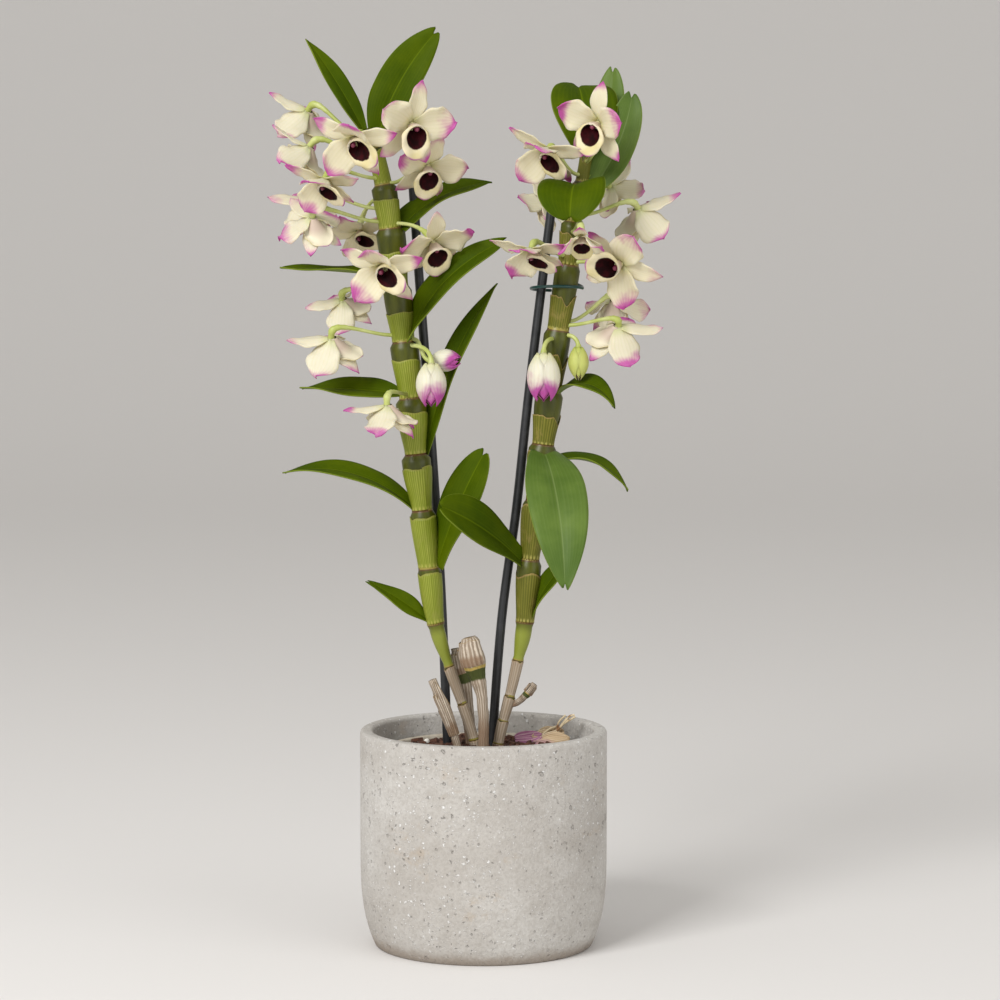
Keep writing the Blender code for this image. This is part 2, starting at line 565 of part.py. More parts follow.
def make_bud(name, cane, height, neck, ahead, length, girth, material):
    """A bud that hangs from its neck and points ahead."""
    neck = above_bark(*neck)
    ahead = Vector(ahead).normalized()
    start = on_cane(cane, height, neck - cane_at(cane, height)[0])
    leave = (start - cane_at(cane, height)[0]).normalized()
    leave.z = 0.0
    path = list(reversed(stalk_line(start, leave, neck, -ahead, 4)))[:-1]
    radii = [STALK_RADIUS] * len(path)
    for share, fullness in BUD_SHAPE:
        path.append(neck + ahead * (length * share))
        radii.append(girth / 2 * fullness)
    return make_piece(name, rod(path, radii, 8), material, start)


bud_green = finish("bud_green", (0.55, 0.62, 0.20), 0.5)
BUDS = (
    ("bud_left_01", LEFT, 252, (-31, -10, 239), (0.95, -0.25, 0.05), 18, 13, petal_cream),
    ("bud_left_02", LEFT, 248, (-31, -23, 238), (0.0, -0.1, -1.0), 26, 18, petal_cream),
    ("bud_right_01", RIGHT, 252, (36, -20, 244), (0.0, -0.1, -1.0), 30, 20, petal_cream),
    ("bud_right_02", RIGHT, 254, (57, -9, 247), (0.0, -0.2, -1.0), 20, 12, bud_green),
)
for bud in BUDS:
    make_bud(*bud)

# Wilted flower dropped on the bark, with its dried stalk standing up
WILTED = ((20, 22, 3.5), (27, 22, 4.5), (36, 22, 5.0), (43, 21, 6.0), (47, 20, 12.0), (50, 18, 19.0),
          (56, 17, 21.0))
WILTED_RADII = (1.2, 3.8, 4.4, 2.6, 1.2, 1.0, 0.6)
wilted_path = smooth_path([above_bark(*point) for point in WILTED], 1)
wilted_brown = finish("wilted", (0.62, 0.42, 0.25), 0.8)
make_piece("wilted_flower", rod(wilted_path, WILTED_RADII, 8, 0.6), wilted_brown, wilted_path[0])
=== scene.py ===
"""Potted orchid: looks for every piece of the plant, its nursery pot and its cement cover pot.

The camera, lights and floor are in metres. The pieces are in millimetres until a mesh is
finished, and heights on the plant count from the top of the bark, 117 mm above the ground.
+X is to the right, -Y the front and +Z up.
"""

import math
import random

import bmesh
import bpy
from mathutils import Matrix, Vector, noise
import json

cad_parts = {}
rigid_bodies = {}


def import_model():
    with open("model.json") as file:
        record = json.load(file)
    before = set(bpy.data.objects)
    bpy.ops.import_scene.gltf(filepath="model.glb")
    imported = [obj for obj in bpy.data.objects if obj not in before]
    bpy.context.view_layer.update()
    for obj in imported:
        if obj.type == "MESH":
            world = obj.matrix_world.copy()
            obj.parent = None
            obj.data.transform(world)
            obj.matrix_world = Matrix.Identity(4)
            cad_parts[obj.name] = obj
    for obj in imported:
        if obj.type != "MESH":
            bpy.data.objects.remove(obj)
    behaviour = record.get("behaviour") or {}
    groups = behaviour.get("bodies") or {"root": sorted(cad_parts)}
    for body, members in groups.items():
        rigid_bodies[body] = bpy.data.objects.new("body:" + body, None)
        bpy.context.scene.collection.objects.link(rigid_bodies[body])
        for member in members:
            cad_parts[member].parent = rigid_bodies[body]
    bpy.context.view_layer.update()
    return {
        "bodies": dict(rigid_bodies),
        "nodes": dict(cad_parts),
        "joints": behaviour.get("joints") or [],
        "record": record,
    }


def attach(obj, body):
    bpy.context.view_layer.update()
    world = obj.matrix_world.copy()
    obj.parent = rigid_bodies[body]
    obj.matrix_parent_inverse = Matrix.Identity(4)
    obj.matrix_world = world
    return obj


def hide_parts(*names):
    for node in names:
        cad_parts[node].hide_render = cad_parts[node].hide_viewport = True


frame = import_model()

# ---------------------------------------------------------------- Camera, floor and light
# A long lens at the plant's middle height, a plain pale floor that sweeps up into a wall far
# behind, and soft light from the upper left front with a weaker fill from the right.
scene = bpy.context.scene
scene.view_settings.view_transform = "Standard"

lens = bpy.data.cameras.new("camera")
lens.lens = 119.52
lens.sensor_width = 36.0
camera = bpy.data.objects.new("camera", lens)
camera.location = (0.010, -2.0, 0.440)
camera.rotation_euler = (math.radians(85.18), 0.0, 0.0)
scene.collection.objects.link(camera)
scene.camera = camera

world = bpy.data.worlds.new("studio")
world.use_nodes = True
sky = world.node_tree.nodes["Background"]
sky.inputs["Color"].default_value = (0.95, 0.94, 0.92, 1.0)
sky.inputs["Strength"].default_value = 0.66
scene.world = world

for name, spot, size, power in (("key", (-1.3, -1.9, 1.7), 1.1, 60.0), ("fill", (1.7, -1.5, 0.8), 1.6, 12.0)):
    lamp = bpy.data.lights.new(name, "AREA")
    lamp.size = size
    lamp.energy = power
    light = bpy.data.objects.new(name, lamp)
    light.location = spot
    light.rotation_euler = (Vector((0.0, 0.0, 0.3)) - Vector(spot)).to_track_quat("-Z", "Y").to_euler()
    scene.collection.objects.link(light)

floor_finish = bpy.data.materials.new("floor")
floor_finish.use_nodes = True
shader = floor_finish.node_tree.nodes["Principled BSDF"]
shader.inputs["Base Color"].default_value = (0.74, 0.72, 0.70, 1.0)
shader.inputs["Roughness"].default_value = 0.9
FLOOR_DEPTH = 3.2
FLOOR_BEND = 2.4
bm = bmesh.new()
bmesh.ops.create_grid(bm, x_segments=1, y_segments=60, size=12.0)
for vert in bm.verts:
    behind = vert.co.y - FLOOR_DEPTH
    if behind > 0.0:
        bend = min(behind / FLOOR_BEND, math.pi / 2)
        vert.co.y = FLOOR_DEPTH + FLOOR_BEND * math.sin(bend)
        vert.co.z = FLOOR_BEND * (1.0 - math.cos(bend)) + max(behind - FLOOR_BEND * math.pi / 2, 0.0)
floor_mesh = bpy.data.meshes.new("floor")
bm.to_mesh(floor_mesh)
bm.free()
floor_mesh.shade_smooth()
floor_mesh.materials.append(floor_finish)
floor = bpy.data.objects.new("floor", floor_mesh)
scene.collection.objects.link(floor)

# ---------------------------------------------------------------- Cement cover pot
# One thin cast shell of light warm grey cement, drawn in at the foot, with a softly rounded
# rim. Air pits with painted shade in them, pale grit flecks that are partly painted highlights, and faint
# beige water stains show in its skin.
MM = 0.001


def new_material(name, roughness, shine=0.5):
    """An empty Principled material, with its node tree and its shader."""
    material = bpy.data.materials.new(name)
    material.use_nodes = True
    shader = material.node_tree.nodes["Principled BSDF"]
    shader.inputs["Roughness"].default_value = roughness
    shader.inputs["Specular IOR Level"].default_value = shine
    return material, material.node_tree, shader


def node(kind, inputs, output=0, tree=None, **settings):
    """Add a node beside the sockets that feed it, and return one of its outputs."""
    sockets = [value for value in inputs.values() if isinstance(value, bpy.types.NodeSocket)]
    tree = tree or sockets[0].id_data
    made = tree.nodes.new(kind)
    for key, value in settings.items():
        setattr(made, key, value)
    for key, value in inputs.items():
        if isinstance(value, bpy.types.NodeSocket):
            tree.links.new(value, made.inputs[key])
        else:
            made.inputs[key].default_value = value
    return made.outputs[output]


def blend(share, first, second):
    """Mix two colours by a share."""
    first, second = ((*colour, 1.0) if isinstance(colour, tuple) else colour for colour in (first, second))
    return node("ShaderNodeMix", {0: share, 6: first, 7: second}, 2, data_type="RGBA")


def between(value, low, high, out_low=0.0, out_high=1.0):
    """A value brought smoothly from one range to another and held at its ends."""
    return node("ShaderNodeMapRange", {"Value": value, "From Min": low, "From Max": high,
                                       "To Min": out_low, "To Max": out_high},
                interpolation_type="SMOOTHSTEP")


def maths(operation, first, second=0.0):
    """One sum on two values."""
    return node("ShaderNodeMath", {0: first, 1: second}, operation=operation)


def times(first, second):
    """The product of two values."""
    return maths("MULTIPLY", first, second)


def plus(first, second):
    """The sum of two values."""
    return maths("ADD", first, second)


def swing(value, amount):
    """A value from 0 to 1 made to swing either side of nothing."""
    return times(maths("SUBTRACT", value, 0.5), amount)


def cloud(tree, scale, detail=3.0, roughness=0.5, flat=1.0, seed=0.0):
    """Soft noise over the object, from 0 to 1; flat squeezes it up and down."""
    place = node("ShaderNodeTexCoord", {}, "Object", tree)
    place = node("ShaderNodeMapping", {"Vector": place, "Location": (seed,) * 3, "Scale": (1.0, 1.0, flat)})
    return node("ShaderNodeTexNoise", {"Vector": place, "Scale": scale, "Detail": detail,
                                       "Roughness": roughness})


def chips_group():
    """A node group of scattered uneven patches: how fine, how big, how many and which."""
    group = bpy.data.node_groups.new("chips", "ShaderNodeTree")
    for socket in ("Scale", "Radius", "Share", "Shift"):
        group.interface.new_socket(socket, in_out="INPUT", socket_type="NodeSocketFloat")
    group.interface.new_socket("Mask", in_out="OUTPUT", socket_type="NodeSocketFloat")
    entry = group.nodes.new("NodeGroupInput")
    leave = group.nodes.new("NodeGroupOutput")
    place = node("ShaderNodeTexCoord", {}, "Object", group)
    place = node("ShaderNodeVectorMath", {0: place, 1: entry.outputs["Shift"]}, operation="ADD")
    wander = node("ShaderNodeTexNoise", {"Vector": place, "Scale": entry.outputs["Scale"], "Detail": 4.0,
                                                "Roughness": 0.7}, "Color")
    wander = node("ShaderNodeVectorMath", {0: wander, 1: (0.5, 0.5, 0.5)}, operation="SUBTRACT")
    reach = maths("DIVIDE", 1.3, entry.outputs["Scale"])
    wander = node("ShaderNodeVectorMath", {0: wander, 3: reach}, operation="SCALE")
    bent = node("ShaderNodeVectorMath", {0: place, 1: wander}, operation="ADD")
    cells = node("ShaderNodeTexVoronoi", {"Vector": bent, "Scale": entry.outputs["Scale"]}, "Distance")
    split = node("ShaderNodeSeparateColor", {0: cells.node.outputs["Color"]})
    inner = times(entry.outputs["Radius"], plus(split.node.outputs["Green"], 0.35))
    near = node("ShaderNodeMapRange", {"Value": cells, "From Min": inner,
                                              "From Max": times(inner, 0.55)})
    picked = maths("LESS_THAN", split, entry.outputs["Share"])
    group.links.new(times(near, picked), leave.inputs["Mask"])
    return group


CHIPS = chips_group()


def chip_mask(tree, scale, radius, share, shift):
    """The chips group, wired in."""
    made = tree.nodes.new("ShaderNodeGroup")
    made.node_tree = CHIPS
    for socket, value in (("Scale", scale), ("Radius", radius), ("Share", share), ("Shift", shift)):
        made.inputs[socket].default_value = value
    return made.outputs["Mask"]


def coat(shader, colour, height=None, depth=0.0, strength=1.0):
    """Give a material its colour and, from a height value, a relief of so many millimetres."""
    tree = colour.id_data
    tree.links.new(colour, shader.inputs["Base Color"])
    if height:
        relief = node("ShaderNodeBump", {"Height": height, "Distance": depth * MM, "Strength": strength})
        tree.links.new(relief, shader.inputs["Normal"])


def add_piece(name, bm, materials, slot, solid, wall=0.0, backed=False, merge=0.0005):
    """Make a millimetre mesh a smooth piece, with a wall if it is a sheet, in a solid's place."""
    bmesh.ops.remove_doubles(bm, verts=bm.verts, dist=merge)
    mesh = bpy.data.meshes.new(name)
    bm.to_mesh(mesh)
    bm.free()
    mesh.transform(Matrix.Scale(MM, 4))
    mesh.shade_smooth()
    for material in materials:
        mesh.materials.append(material)
    piece = bpy.data.objects.new(name, mesh)
    scene.collection.objects.link(piece)
    if wall:
        thicken = piece.modifiers.new("wall", "SOLIDIFY")
        thicken.thickness = wall * MM
        thicken.offset = -1.0
        thicken.material_offset = 1 if backed else 0
    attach(piece, "root")
    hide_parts(solid)
    return piece


def turned(outline, segments):
    """A solid of revolution from an (r, z) outline that starts and ends on the axis."""
    bm = bmesh.new()
    corners = [bm.verts.new((radius, 0.0, height)) for radius, height in outline]
    edges = [bm.edges.new(pair) for pair in zip(corners, corners[1:])]
    bmesh.ops.spin(bm, geom=corners + edges, cent=(0.0, 0.0, 0.0), axis=(0.0, 0.0, 1.0),
                   angle=math.tau, steps=segments, use_merge=True)
    bmesh.ops.remove_doubles(bm, verts=bm.verts, dist=0.001)
    bmesh.ops.recalc_face_normals(bm, faces=bm.faces)
    return bm


def round_axis(angle, radius, height=0.0):
    """A place at an angle and a radius round the Z axis."""
    return Vector((math.cos(angle) * radius, math.sin(angle) * radius, height))


def arc(centre_radius, centre_height, bend, start_angle, end_angle, steps):
    """Points of a round between two angles, for an outline."""
    points = []
    for step in range(steps + 1):
        angle = math.radians(start_angle + (end_angle - start_angle) * step / steps)
        points.append((centre_radius + bend * math.cos(angle), centre_height + bend * math.sin(angle)))
    return points


POT_RADIUS = 75.0
POT_HEIGHT = 132.0
POT_WALL = 8.0
POT_FLOOR = 10.0
POT_FOOT_INSET = 9.0
POT_FOOT_CURVE = 60.0
RIM_ROUND = 2.4


def pot_radius(height):
    """Outer radius of the cover pot, drawn in towards its foot."""
    rise = min(height / POT_FOOT_CURVE, 1.0)
    return POT_RADIUS - POT_FOOT_INSET * (1.0 - rise) ** 3.2


outline = [(0.0, 0.0), (pot_radius(0.0) - 0.8, 0.0)]
for step in range(26):
    height = 0.8 + 2.4 * step
    outline.append((pot_radius(height), height))
outline += [(POT_RADIUS, height) for height in (80.0, 100.0, 118.0)]
outline += arc(POT_RADIUS - RIM_ROUND, POT_HEIGHT - RIM_ROUND, RIM_ROUND, 0.0, 90.0, 6)
outline += arc(POT_RADIUS - POT_WALL + RIM_ROUND, POT_HEIGHT - RIM_ROUND, RIM_ROUND, 90.0, 180.0, 6)
outline += [(POT_RADIUS - POT_WALL, height) for height in (118.0, 90.0, 62.0)]
outline += [(pot_radius(height) - POT_WALL, height) for height in (40.0, 20.0, 14.0)]
outline += [(pot_radius(POT_FLOOR) - POT_WALL - 5.0, POT_FLOOR), (0.0, POT_FLOOR)]

cement, tree, shader = new_material("cement", 0.88)
mottle = cloud(tree, 11.0, 5.0, 0.62, 1.8)
fine = cloud(tree, 520.0, 5.0, 0.7)
blotch = cloud(tree, 95.0, 5.0, 0.7)
colour = blend(between(mottle, 0.30, 0.70), (0.435, 0.408, 0.374), (0.560, 0.542, 0.512))
colour = blend(between(blotch, 0.42, 0.70, 0.0, 0.30), colour, (0.325, 0.298, 0.262))
colour = blend(between(fine, 0.34, 0.72, 0.0, 0.45), colour, (0.300, 0.272, 0.240))
stains = between(cloud(tree, 24.0, 6.0, 0.75, 1.5, 3.0), 0.59, 0.70, 0.0, 0.40)
colour = blend(stains, colour, (0.42, 0.33, 0.235))
patchy = between(cloud(tree, 14.0, 2.0, 0.5, 1.0, 8.0), 0.38, 0.60, 0.10, 1.0)
# Pale flecks: partly pale grit, partly painted highlights that stand for light caught on the edges of pits.
chips = times(chip_mask(tree, 340.0, 0.28, 0.40, 0.0), patchy)
chips_small = chip_mask(tree, 620.0, 0.32, 0.36, 0.3)
colour = blend(times(chips, 0.75), colour, (0.86, 0.86, 0.85))
colour = blend(times(chips_small, 0.55), colour, (0.82, 0.81, 0.79))
# Air voids, pits and specks: sunk into the relief, and painted darker as painted shade inside the hollows.
voids = chip_mask(tree, 70.0, 0.15, 0.10, 0.7)
pits = times(chip_mask(tree, 210.0, 0.22, 0.26, 1.1), patchy)
specks = chip_mask(tree, 430.0, 0.28, 0.16, 1.9)
pits_and_painted_shade = maths("MAXIMUM", maths("MAXIMUM", voids, pits), times(specks, 0.6))
colour = blend(times(pits_and_painted_shade, 0.30), colour, (0.20, 0.172, 0.145))
height = node("ShaderNodeSeparateXYZ", {0: node("ShaderNodeTexCoord", {}, "Object", tree)}, "Z")
# Darker brown towards the foot: a mottled band over the lowest ten millimetres.
mottled_height = plus(height, swing(blotch, 0.012))
colour = blend(between(mottled_height, 0.010, 0.002, 0.0, 0.6), colour, (0.20, 0.145, 0.10))
raised = plus(times(fine, 0.55), times(blotch, 0.8))
raised = plus(raised, times(plus(chips, chips_small), 0.35))
relief = maths("SUBTRACT", raised, times(pits_and_painted_shade, 1.6))
coat(shader, colour, relief, 0.85, 0.9)

add_piece("cover_pot_shell", turned(outline, 144), [cement], "cement", "cover_pot")

# ---------------------------------------------------------------- Nursery pot
# A thin injection-moulded plastic pot in pale cream, with a flat rolled lip and a slight
# taper, dropped loose into the cover pot.
LIP_RADIUS = 60.0
LIP_TOP = 120.5
LIP_FOOT = 113.5
NURSERY_BASE = 10.3
NURSERY_WALL = 1.2
FOOT_RADIUS = 43.6
NECK_RADIUS = 57.6

outline = [(0.0, NURSERY_BASE), (FOOT_RADIUS - 1.0, NURSERY_BASE), (FOOT_RADIUS, NURSERY_BASE + 1.0)]
outline += [(NECK_RADIUS, LIP_FOOT)]
outline += [(LIP_RADIUS - 0.3, LIP_FOOT), (LIP_RADIUS, LIP_FOOT + 0.4), (LIP_RADIUS, LIP_TOP - 0.8)]
outline += arc(LIP_RADIUS - 0.8, LIP_TOP - 0.8, 0.8, 10.0, 90.0, 3)
outline += [(NECK_RADIUS - 0.4, LIP_TOP), (NECK_RADIUS - NURSERY_WALL, LIP_TOP - 0.8)]
outline += [(NECK_RADIUS - NURSERY_WALL, LIP_FOOT), (FOOT_RADIUS - NURSERY_WALL, NURSERY_BASE + NURSERY_WALL)]
outline += [(0.0, NURSERY_BASE + NURSERY_WALL)]

plastic, tree, shader = new_material("nursery_plastic", 0.5)
dust = between(cloud(tree, 70.0, 5.0, 0.65), 0.42, 0.70, 0.0, 0.6)
colour = blend(dust, (0.50, 0.45, 0.36), (0.33, 0.27, 0.20))
coat(shader, colour, cloud(tree, 300.0), 0.1, 0.3)

add_piece("nursery_pot_shell", turned(outline, 96), [plastic], "nursery_plastic", "nursery_pot")

# ---------------------------------------------------------------- Bark mix
# Loose orchid bark: dark brown chips of many sizes heaped on finer stuff, with a few white
# perlite grains and two orange feed beads lying between them.
BARK_TOP = 117.0
BED_TOP = BARK_TOP - 1.5
MIX_RADIUS = 54.5
CHIP_COUNT = 620
CHIP_ROUND = 0.5

outline = [(0.0, 13.0), (42.0, 13.0), (55.9, LIP_FOOT), (55.9, BED_TOP)]
bed_steps = (0.95, 0.85, 0.75, 0.65, 0.55, 0.45, 0.35, 0.25, 0.15, 0.0)
outline += [(54.0 * share, BED_TOP) for share in bed_steps]
bark_bed = turned(outline, 72)
for vert in bark_bed.verts:
    if vert.co.z > BARK_TOP - 2.0 and vert.co.xy.length < MIX_RADIUS:
        vert.co.z += 2.4 * noise.noise(vert.co * 0.22)

bark, tree, shader = new_material("bark", 0.92)
grain = cloud(tree, 180.0, 5.0, 0.7)
colour = blend(between(grain, 0.3, 0.72), (0.026, 0.009, 0.005), (0.125, 0.048, 0.024))
ash = between(cloud(tree, 60.0, 3.0, 0.5, 1.0, 5.0), 0.56, 0.70, 0.0, 0.55)
colour = blend(ash, colour, (0.20, 0.12, 0.075))
coat(shader, colour, grain, 0.5, 0.8)

add_piece("bark_bed", bark_bed, [bark], "bark", "bark_mix")

# Sets the noise's own offsets, so that the chips come out the same each time.
noise.seed_set(11)
scatter = random.Random(11)
chips = bmesh.new()
for _ in range(CHIP_COUNT):
    reach = MIX_RADIUS * math.sqrt(scatter.random()) * 0.96
    around = scatter.uniform(0.0, math.tau)
    size = Vector((scatter.uniform(2.5, 8.0), scatter.uniform(1.6, 4.2), scatter.uniform(1.0, 2.6)))
    heap = 2.2 - 1.4 * (reach / MIX_RADIUS) ** 4
    spot = round_axis(around, reach, BARK_TOP + scatter.uniform(-1.5, 2.0) + heap)
    turn = Matrix.Rotation(scatter.uniform(0.0, math.tau), 4, "Z")
    tip = Matrix.Rotation(scatter.uniform(-0.5, 0.5), 4, "X")
    tip = tip @ Matrix.Rotation(scatter.uniform(-0.4, 0.4), 4, "Y")
    chip = bmesh.ops.create_cube(chips, size=1.0, matrix=Matrix.Diagonal((*size, 1.0)))
    edges = list({edge for vert in chip["verts"] for edge in vert.link_edges})
    rounded = bmesh.ops.bevel(chips, geom=edges, offset=CHIP_ROUND, segments=1, profile=0.5,
                              affect="EDGES", material=-1)
    corners = {vert for face in rounded["faces"] for vert in face.verts}
    for vert in corners:
        vert.co += 0.5 * noise.noise_vector(vert.co * 0.6 + spot)
    bmesh.ops.transform(chips, verts=list(corners), matrix=Matrix.Translation(spot) @ turn @ tip)
bark_chips = add_piece("bark_chips", chips, [bark], "bark", "bark_mix", merge=0.00001)
bark_chips.data.set_sharp_from_angle(angle=math.radians(30.0))

perlite, tree, shader = new_material("perlite", 0.9)
shader.inputs["Base Color"].default_value = (0.78, 0.75, 0.68, 1.0)
bead_orange, tree, shader = new_material("feed_bead", 0.35)
shader.inputs["Base Color"].default_value = (0.72, 0.24, 0.03, 1.0)
grains = bmesh.new()
PERLITE = ((-12, -46, 2.0), (8, -48, 1.8), (15, -47, 2.1), (-30, -34, 1.6), (30, -38, 1.7), (22, 40, 2.4),
           (-35, 22, 1.8), (2, 36, 2.0), (41, -8, 1.7))
for x, y, size in PERLITE:
    grain = bmesh.ops.create_icosphere(grains, subdivisions=2, radius=size,
                                       matrix=Matrix.Translation((x, y, BARK_TOP + 3.4)))
    for vert in grain["verts"]:
        vert.co += 0.7 * noise.noise_vector(vert.co * 0.7)
for x, y in ((-43, -28), (36, 28)):
    bead = bmesh.ops.create_icosphere(grains, subdivisions=3, radius=1.9,
                                      matrix=Matrix.Translation((x, y, BARK_TOP + 4.0)))
    for face in {face for vert in bead["verts"] for face in vert.link_faces}:
        face.material_index = 1
add_piece("perlite_and_bead", grains, [perlite, bead_orange], "bark", "bark_mix")

# ---------------------------------------------------------------- Support stakes and ring clip
# Two thin black coated rods pushed down through the bark, and an open ring of dark green
# coated wire that holds the right cane to its rod.


def smooth_path(points, per_span):
    """Points on a smooth curve through the given points."""
    points = [Vector(point) for point in points]
    padded = [points[0] * 2 - points[1], *points, points[-1] * 2 - points[-2]]
    path = []
    for a, b, c, d in zip(padded, padded[1:], padded[2:], padded[3:]):
        for step in range(per_span):
            t = step / per_span
            path.append(0.5 * (2 * b + (c - a) * t + (2 * a - 5 * b + 4 * c - d) * t * t
                               + (3 * b - a - 3 * c + d) * t ** 3))
    path.append(points[-1])
    return path


def frames_along(path):
    """A frame at each point of a path, +Z along it, turned as little as possible."""
    frames = []
    ahead = (path[1] - path[0]).normalized()
    turn = ahead.to_track_quat("Z", "Y")
    for index, point in enumerate(path):
        direction = (path[min(index + 1, len(path) - 1)] - path[max(index - 1, 0)]).normalized()
        turn = ahead.rotation_difference(direction) @ turn
        ahead = direction
        frames.append(Matrix.Translation(point) @ turn.to_matrix().to_4x4())
    return frames


def patch(bm, columns, rows, place, slot=0):
    """Add a grid bent to shape: place(u, v) is the point at each share across and along."""
    bm.loops.layers.uv.verify()
    made = bmesh.ops.create_grid(bm, x_segments=columns, y_segments=rows, size=0.5, calc_uvs=True)
    for face in {face for vert in made["verts"] for face in vert.link_faces}:
        face.material_index = slot
    for vert in made["verts"]:
        vert.co = place(vert.co.x + 0.5, vert.co.y + 0.5)


def tube(bm, path, radii, sides, slot=0):
    """Add a round skin along a path; it closes where its radius falls to nothing."""
    frames = frames_along(path)
    last = len(path) - 1

    def place(u, v):
        index = round(v * last)
        return frames[index] @ round_axis(math.tau * u, radii[index])

    patch(bm, sides, last, place, slot)


def capped(path, radii):
    """Rounded ends for a tube: two short steps down to nothing at each end."""
    start = (path[0] - path[1]).normalized()
    end = (path[-1] - path[-2]).normalized()
    path = [path[0] + start * radii[0] * 0.45, path[0] + start * radii[0] * 0.3, *path,
            path[-1] + end * radii[-1] * 0.3, path[-1] + end * radii[-1] * 0.45]
    return path, [0.001, radii[0] * 0.75, *radii, radii[-1] * 0.75, 0.001]


def above_bark(x, y, height):
    """A point given by its height above the bark."""
    return Vector((x, y, BARK_TOP + height))


STAKE_RADIUS = 2.8
CLIP_HEIGHT = 282.0
STAKES = {
    "stake_left": ((-19, 13, -70), (-22, 13, 0), (-26, 13, 100), (-32, 12, 195), (-39, 12, 290),
                   (-44, 12, 368)),
    "stake_right": ((2, 6, -70), (5, 6, 0), (11, 6, 81), (20, 6, 149), (27, 6, 215), (35, 6, CLIP_HEIGHT),
                    (42, 6, 338)),
}
stake_plastic, tree, shader = new_material("stake_plastic", 0.42)
colour = blend(between(cloud(tree, 160.0), 0.45, 0.7, 0.0, 0.4), (0.012, 0.013, 0.015),
               (0.035, 0.036, 0.038))
coat(shader, colour)
for name, route in STAKES.items():
    path = smooth_path([above_bark(*point) for point in route], 6)
    path, radii = capped(path, [STAKE_RADIUS] * len(path))
    bm = bmesh.new()
    tube(bm, path, radii, 24)
    add_piece(name + "_rod", bm, [stake_plastic], "stake_plastic", name)

wire_green, tree, shader = new_material("green_wire", 0.3)
shader.inputs["Base Color"].default_value = (0.006, 0.045, 0.038, 1.0)
CLIP_STEPS = 44
WIRE_RADIUS = 0.95
clip_path = []
for step in range(CLIP_STEPS + 1):
    angle = math.radians(60.0 - 318.0 * step / CLIP_STEPS)
    rise = 5.0 * max(0.0, 0.2 - step / CLIP_STEPS) / 0.2
    clip_path.append(above_bark(44.2 + 15.5 * math.cos(angle), 2.6 + 12.0 * math.sin(angle),
                                CLIP_HEIGHT + rise - 1.5 * math.sin(angle)))
clip_path, radii = capped(clip_path, [WIRE_RADIUS] * len(clip_path))
bm = bmesh.new()
tube(bm, clip_path, radii, 12)
add_piece("ring_clip_wire", bm, [wire_green], "green_wire", "ring_clip")

# ---------------------------------------------------------------- Canes
# Living jointed stems. Each joint swells upwards, and a papery leaf sheath with pale ribs is
# wrapped round its lower part; above the torn sheath the bare skin is glossy dark olive.
CANE_ROWS = 12
# Each ring's centre, and the cane's radius just above it and at the top of the joint over it.
LEFT_RINGS = (
    (-2, 2, -14, 3.2, 3.0), (-6, 2, 8, 2.8, 3.0), (-13, 2, 30, 2.6, 3.2), (-21, 2, 53, 2.7, 4.6),
    (-29, 1, 79, 5.0, 7.0), (-33, 0, 113, 6.0, 7.6), (-37, 0, 148, 5.8, 8.8), (-41, 0, 182, 6.0, 9.2),
    (-44, 0, 216, 6.4, 8.6), (-48, 0, 250, 6.4, 8.6), (-52, 0, 283, 6.6, 8.8), (-56, 0, 318, 6.4, 7.6),
    (-60, 0, 344, 5.0, 4.6), (-65, 0, 366, 3.6, 3.4), (-69, 0, 378, 2.6, 2.6),
)
RIGHT_RINGS = (
    (6, 0, -14, 3.2, 3.0), (9, 0, 6, 2.8, 3.2), (12, 0, 20, 2.7, 3.3), (16, 0, 35, 2.7, 3.2),
    (21, 0, 57, 3.0, 5.0), (25, 0, 80, 5.2, 7.4), (28, 0, 118, 5.4, 8.0), (32, 0, 154, 6.0, 8.4),
    (36, 0, 188, 6.2, 8.4), (40, 0, 220, 6.4, 8.2), (45, 0, 257, 6.2, 7.6), (51, 0, 296, 6.0, 7.0),
    (54, 0, 322, 4.6, 4.8), (59, 0, 346, 3.6, 3.4), (62, 0, 364, 2.6, 2.6),
)
# Share of each joint that its sheath covers, from the foot of the cane up; 0 is a bare joint.
LEFT_SHEATHS = (1.0, 1.0, 1.0, 0.0, 0.92, 0.90, 0.76, 0.76, 0.68, 0.52, 0.56, 0.62, 0.9, 0.9)
RIGHT_SHEATHS = (1.0, 1.0, 1.0, 1.0, 0.0, 0.78, 0.88, 0.86, 0.56, 0.60, 0.50, 0.74, 0.9, 0.9)


def cane_line(rings):
    """Frames and radii up a cane, with the same number of rows in each joint."""
    path = smooth_path([above_bark(*ring[:3]) for ring in rings], CANE_ROWS)
    radii = []
    for ring in rings[:-1]:
        for row in range(CANE_ROWS):
            swell = math.sin(min(row / CANE_ROWS / 0.85, 1.0) * math.pi / 2) ** 1.4
            ridge = 0.45 if row == 0 else 0.0
            radii.append(ring[3] + (ring[4] - ring[3]) * swell + ridge)
    radii.append(rings[-1][3])
    return frames_along(path), radii


CANES = {"cane_left": cane_line(LEFT_RINGS), "cane_right": cane_line(RIGHT_RINGS)}


def cane_at(cane, height):
    """Centre of a cane and its radius at a height above the bark."""
    frames, radii = CANES[cane]
    level = BARK_TOP + height
    for low, high, radius in zip(frames, frames[1:], radii):
        if low.translation.z <= level <= high.translation.z:
            t = (level - low.translation.z) / (high.translation.z - low.translation.z)
            return low.translation.lerp(high.translation, t), radius
    return frames[-1].translation, radii[-1]


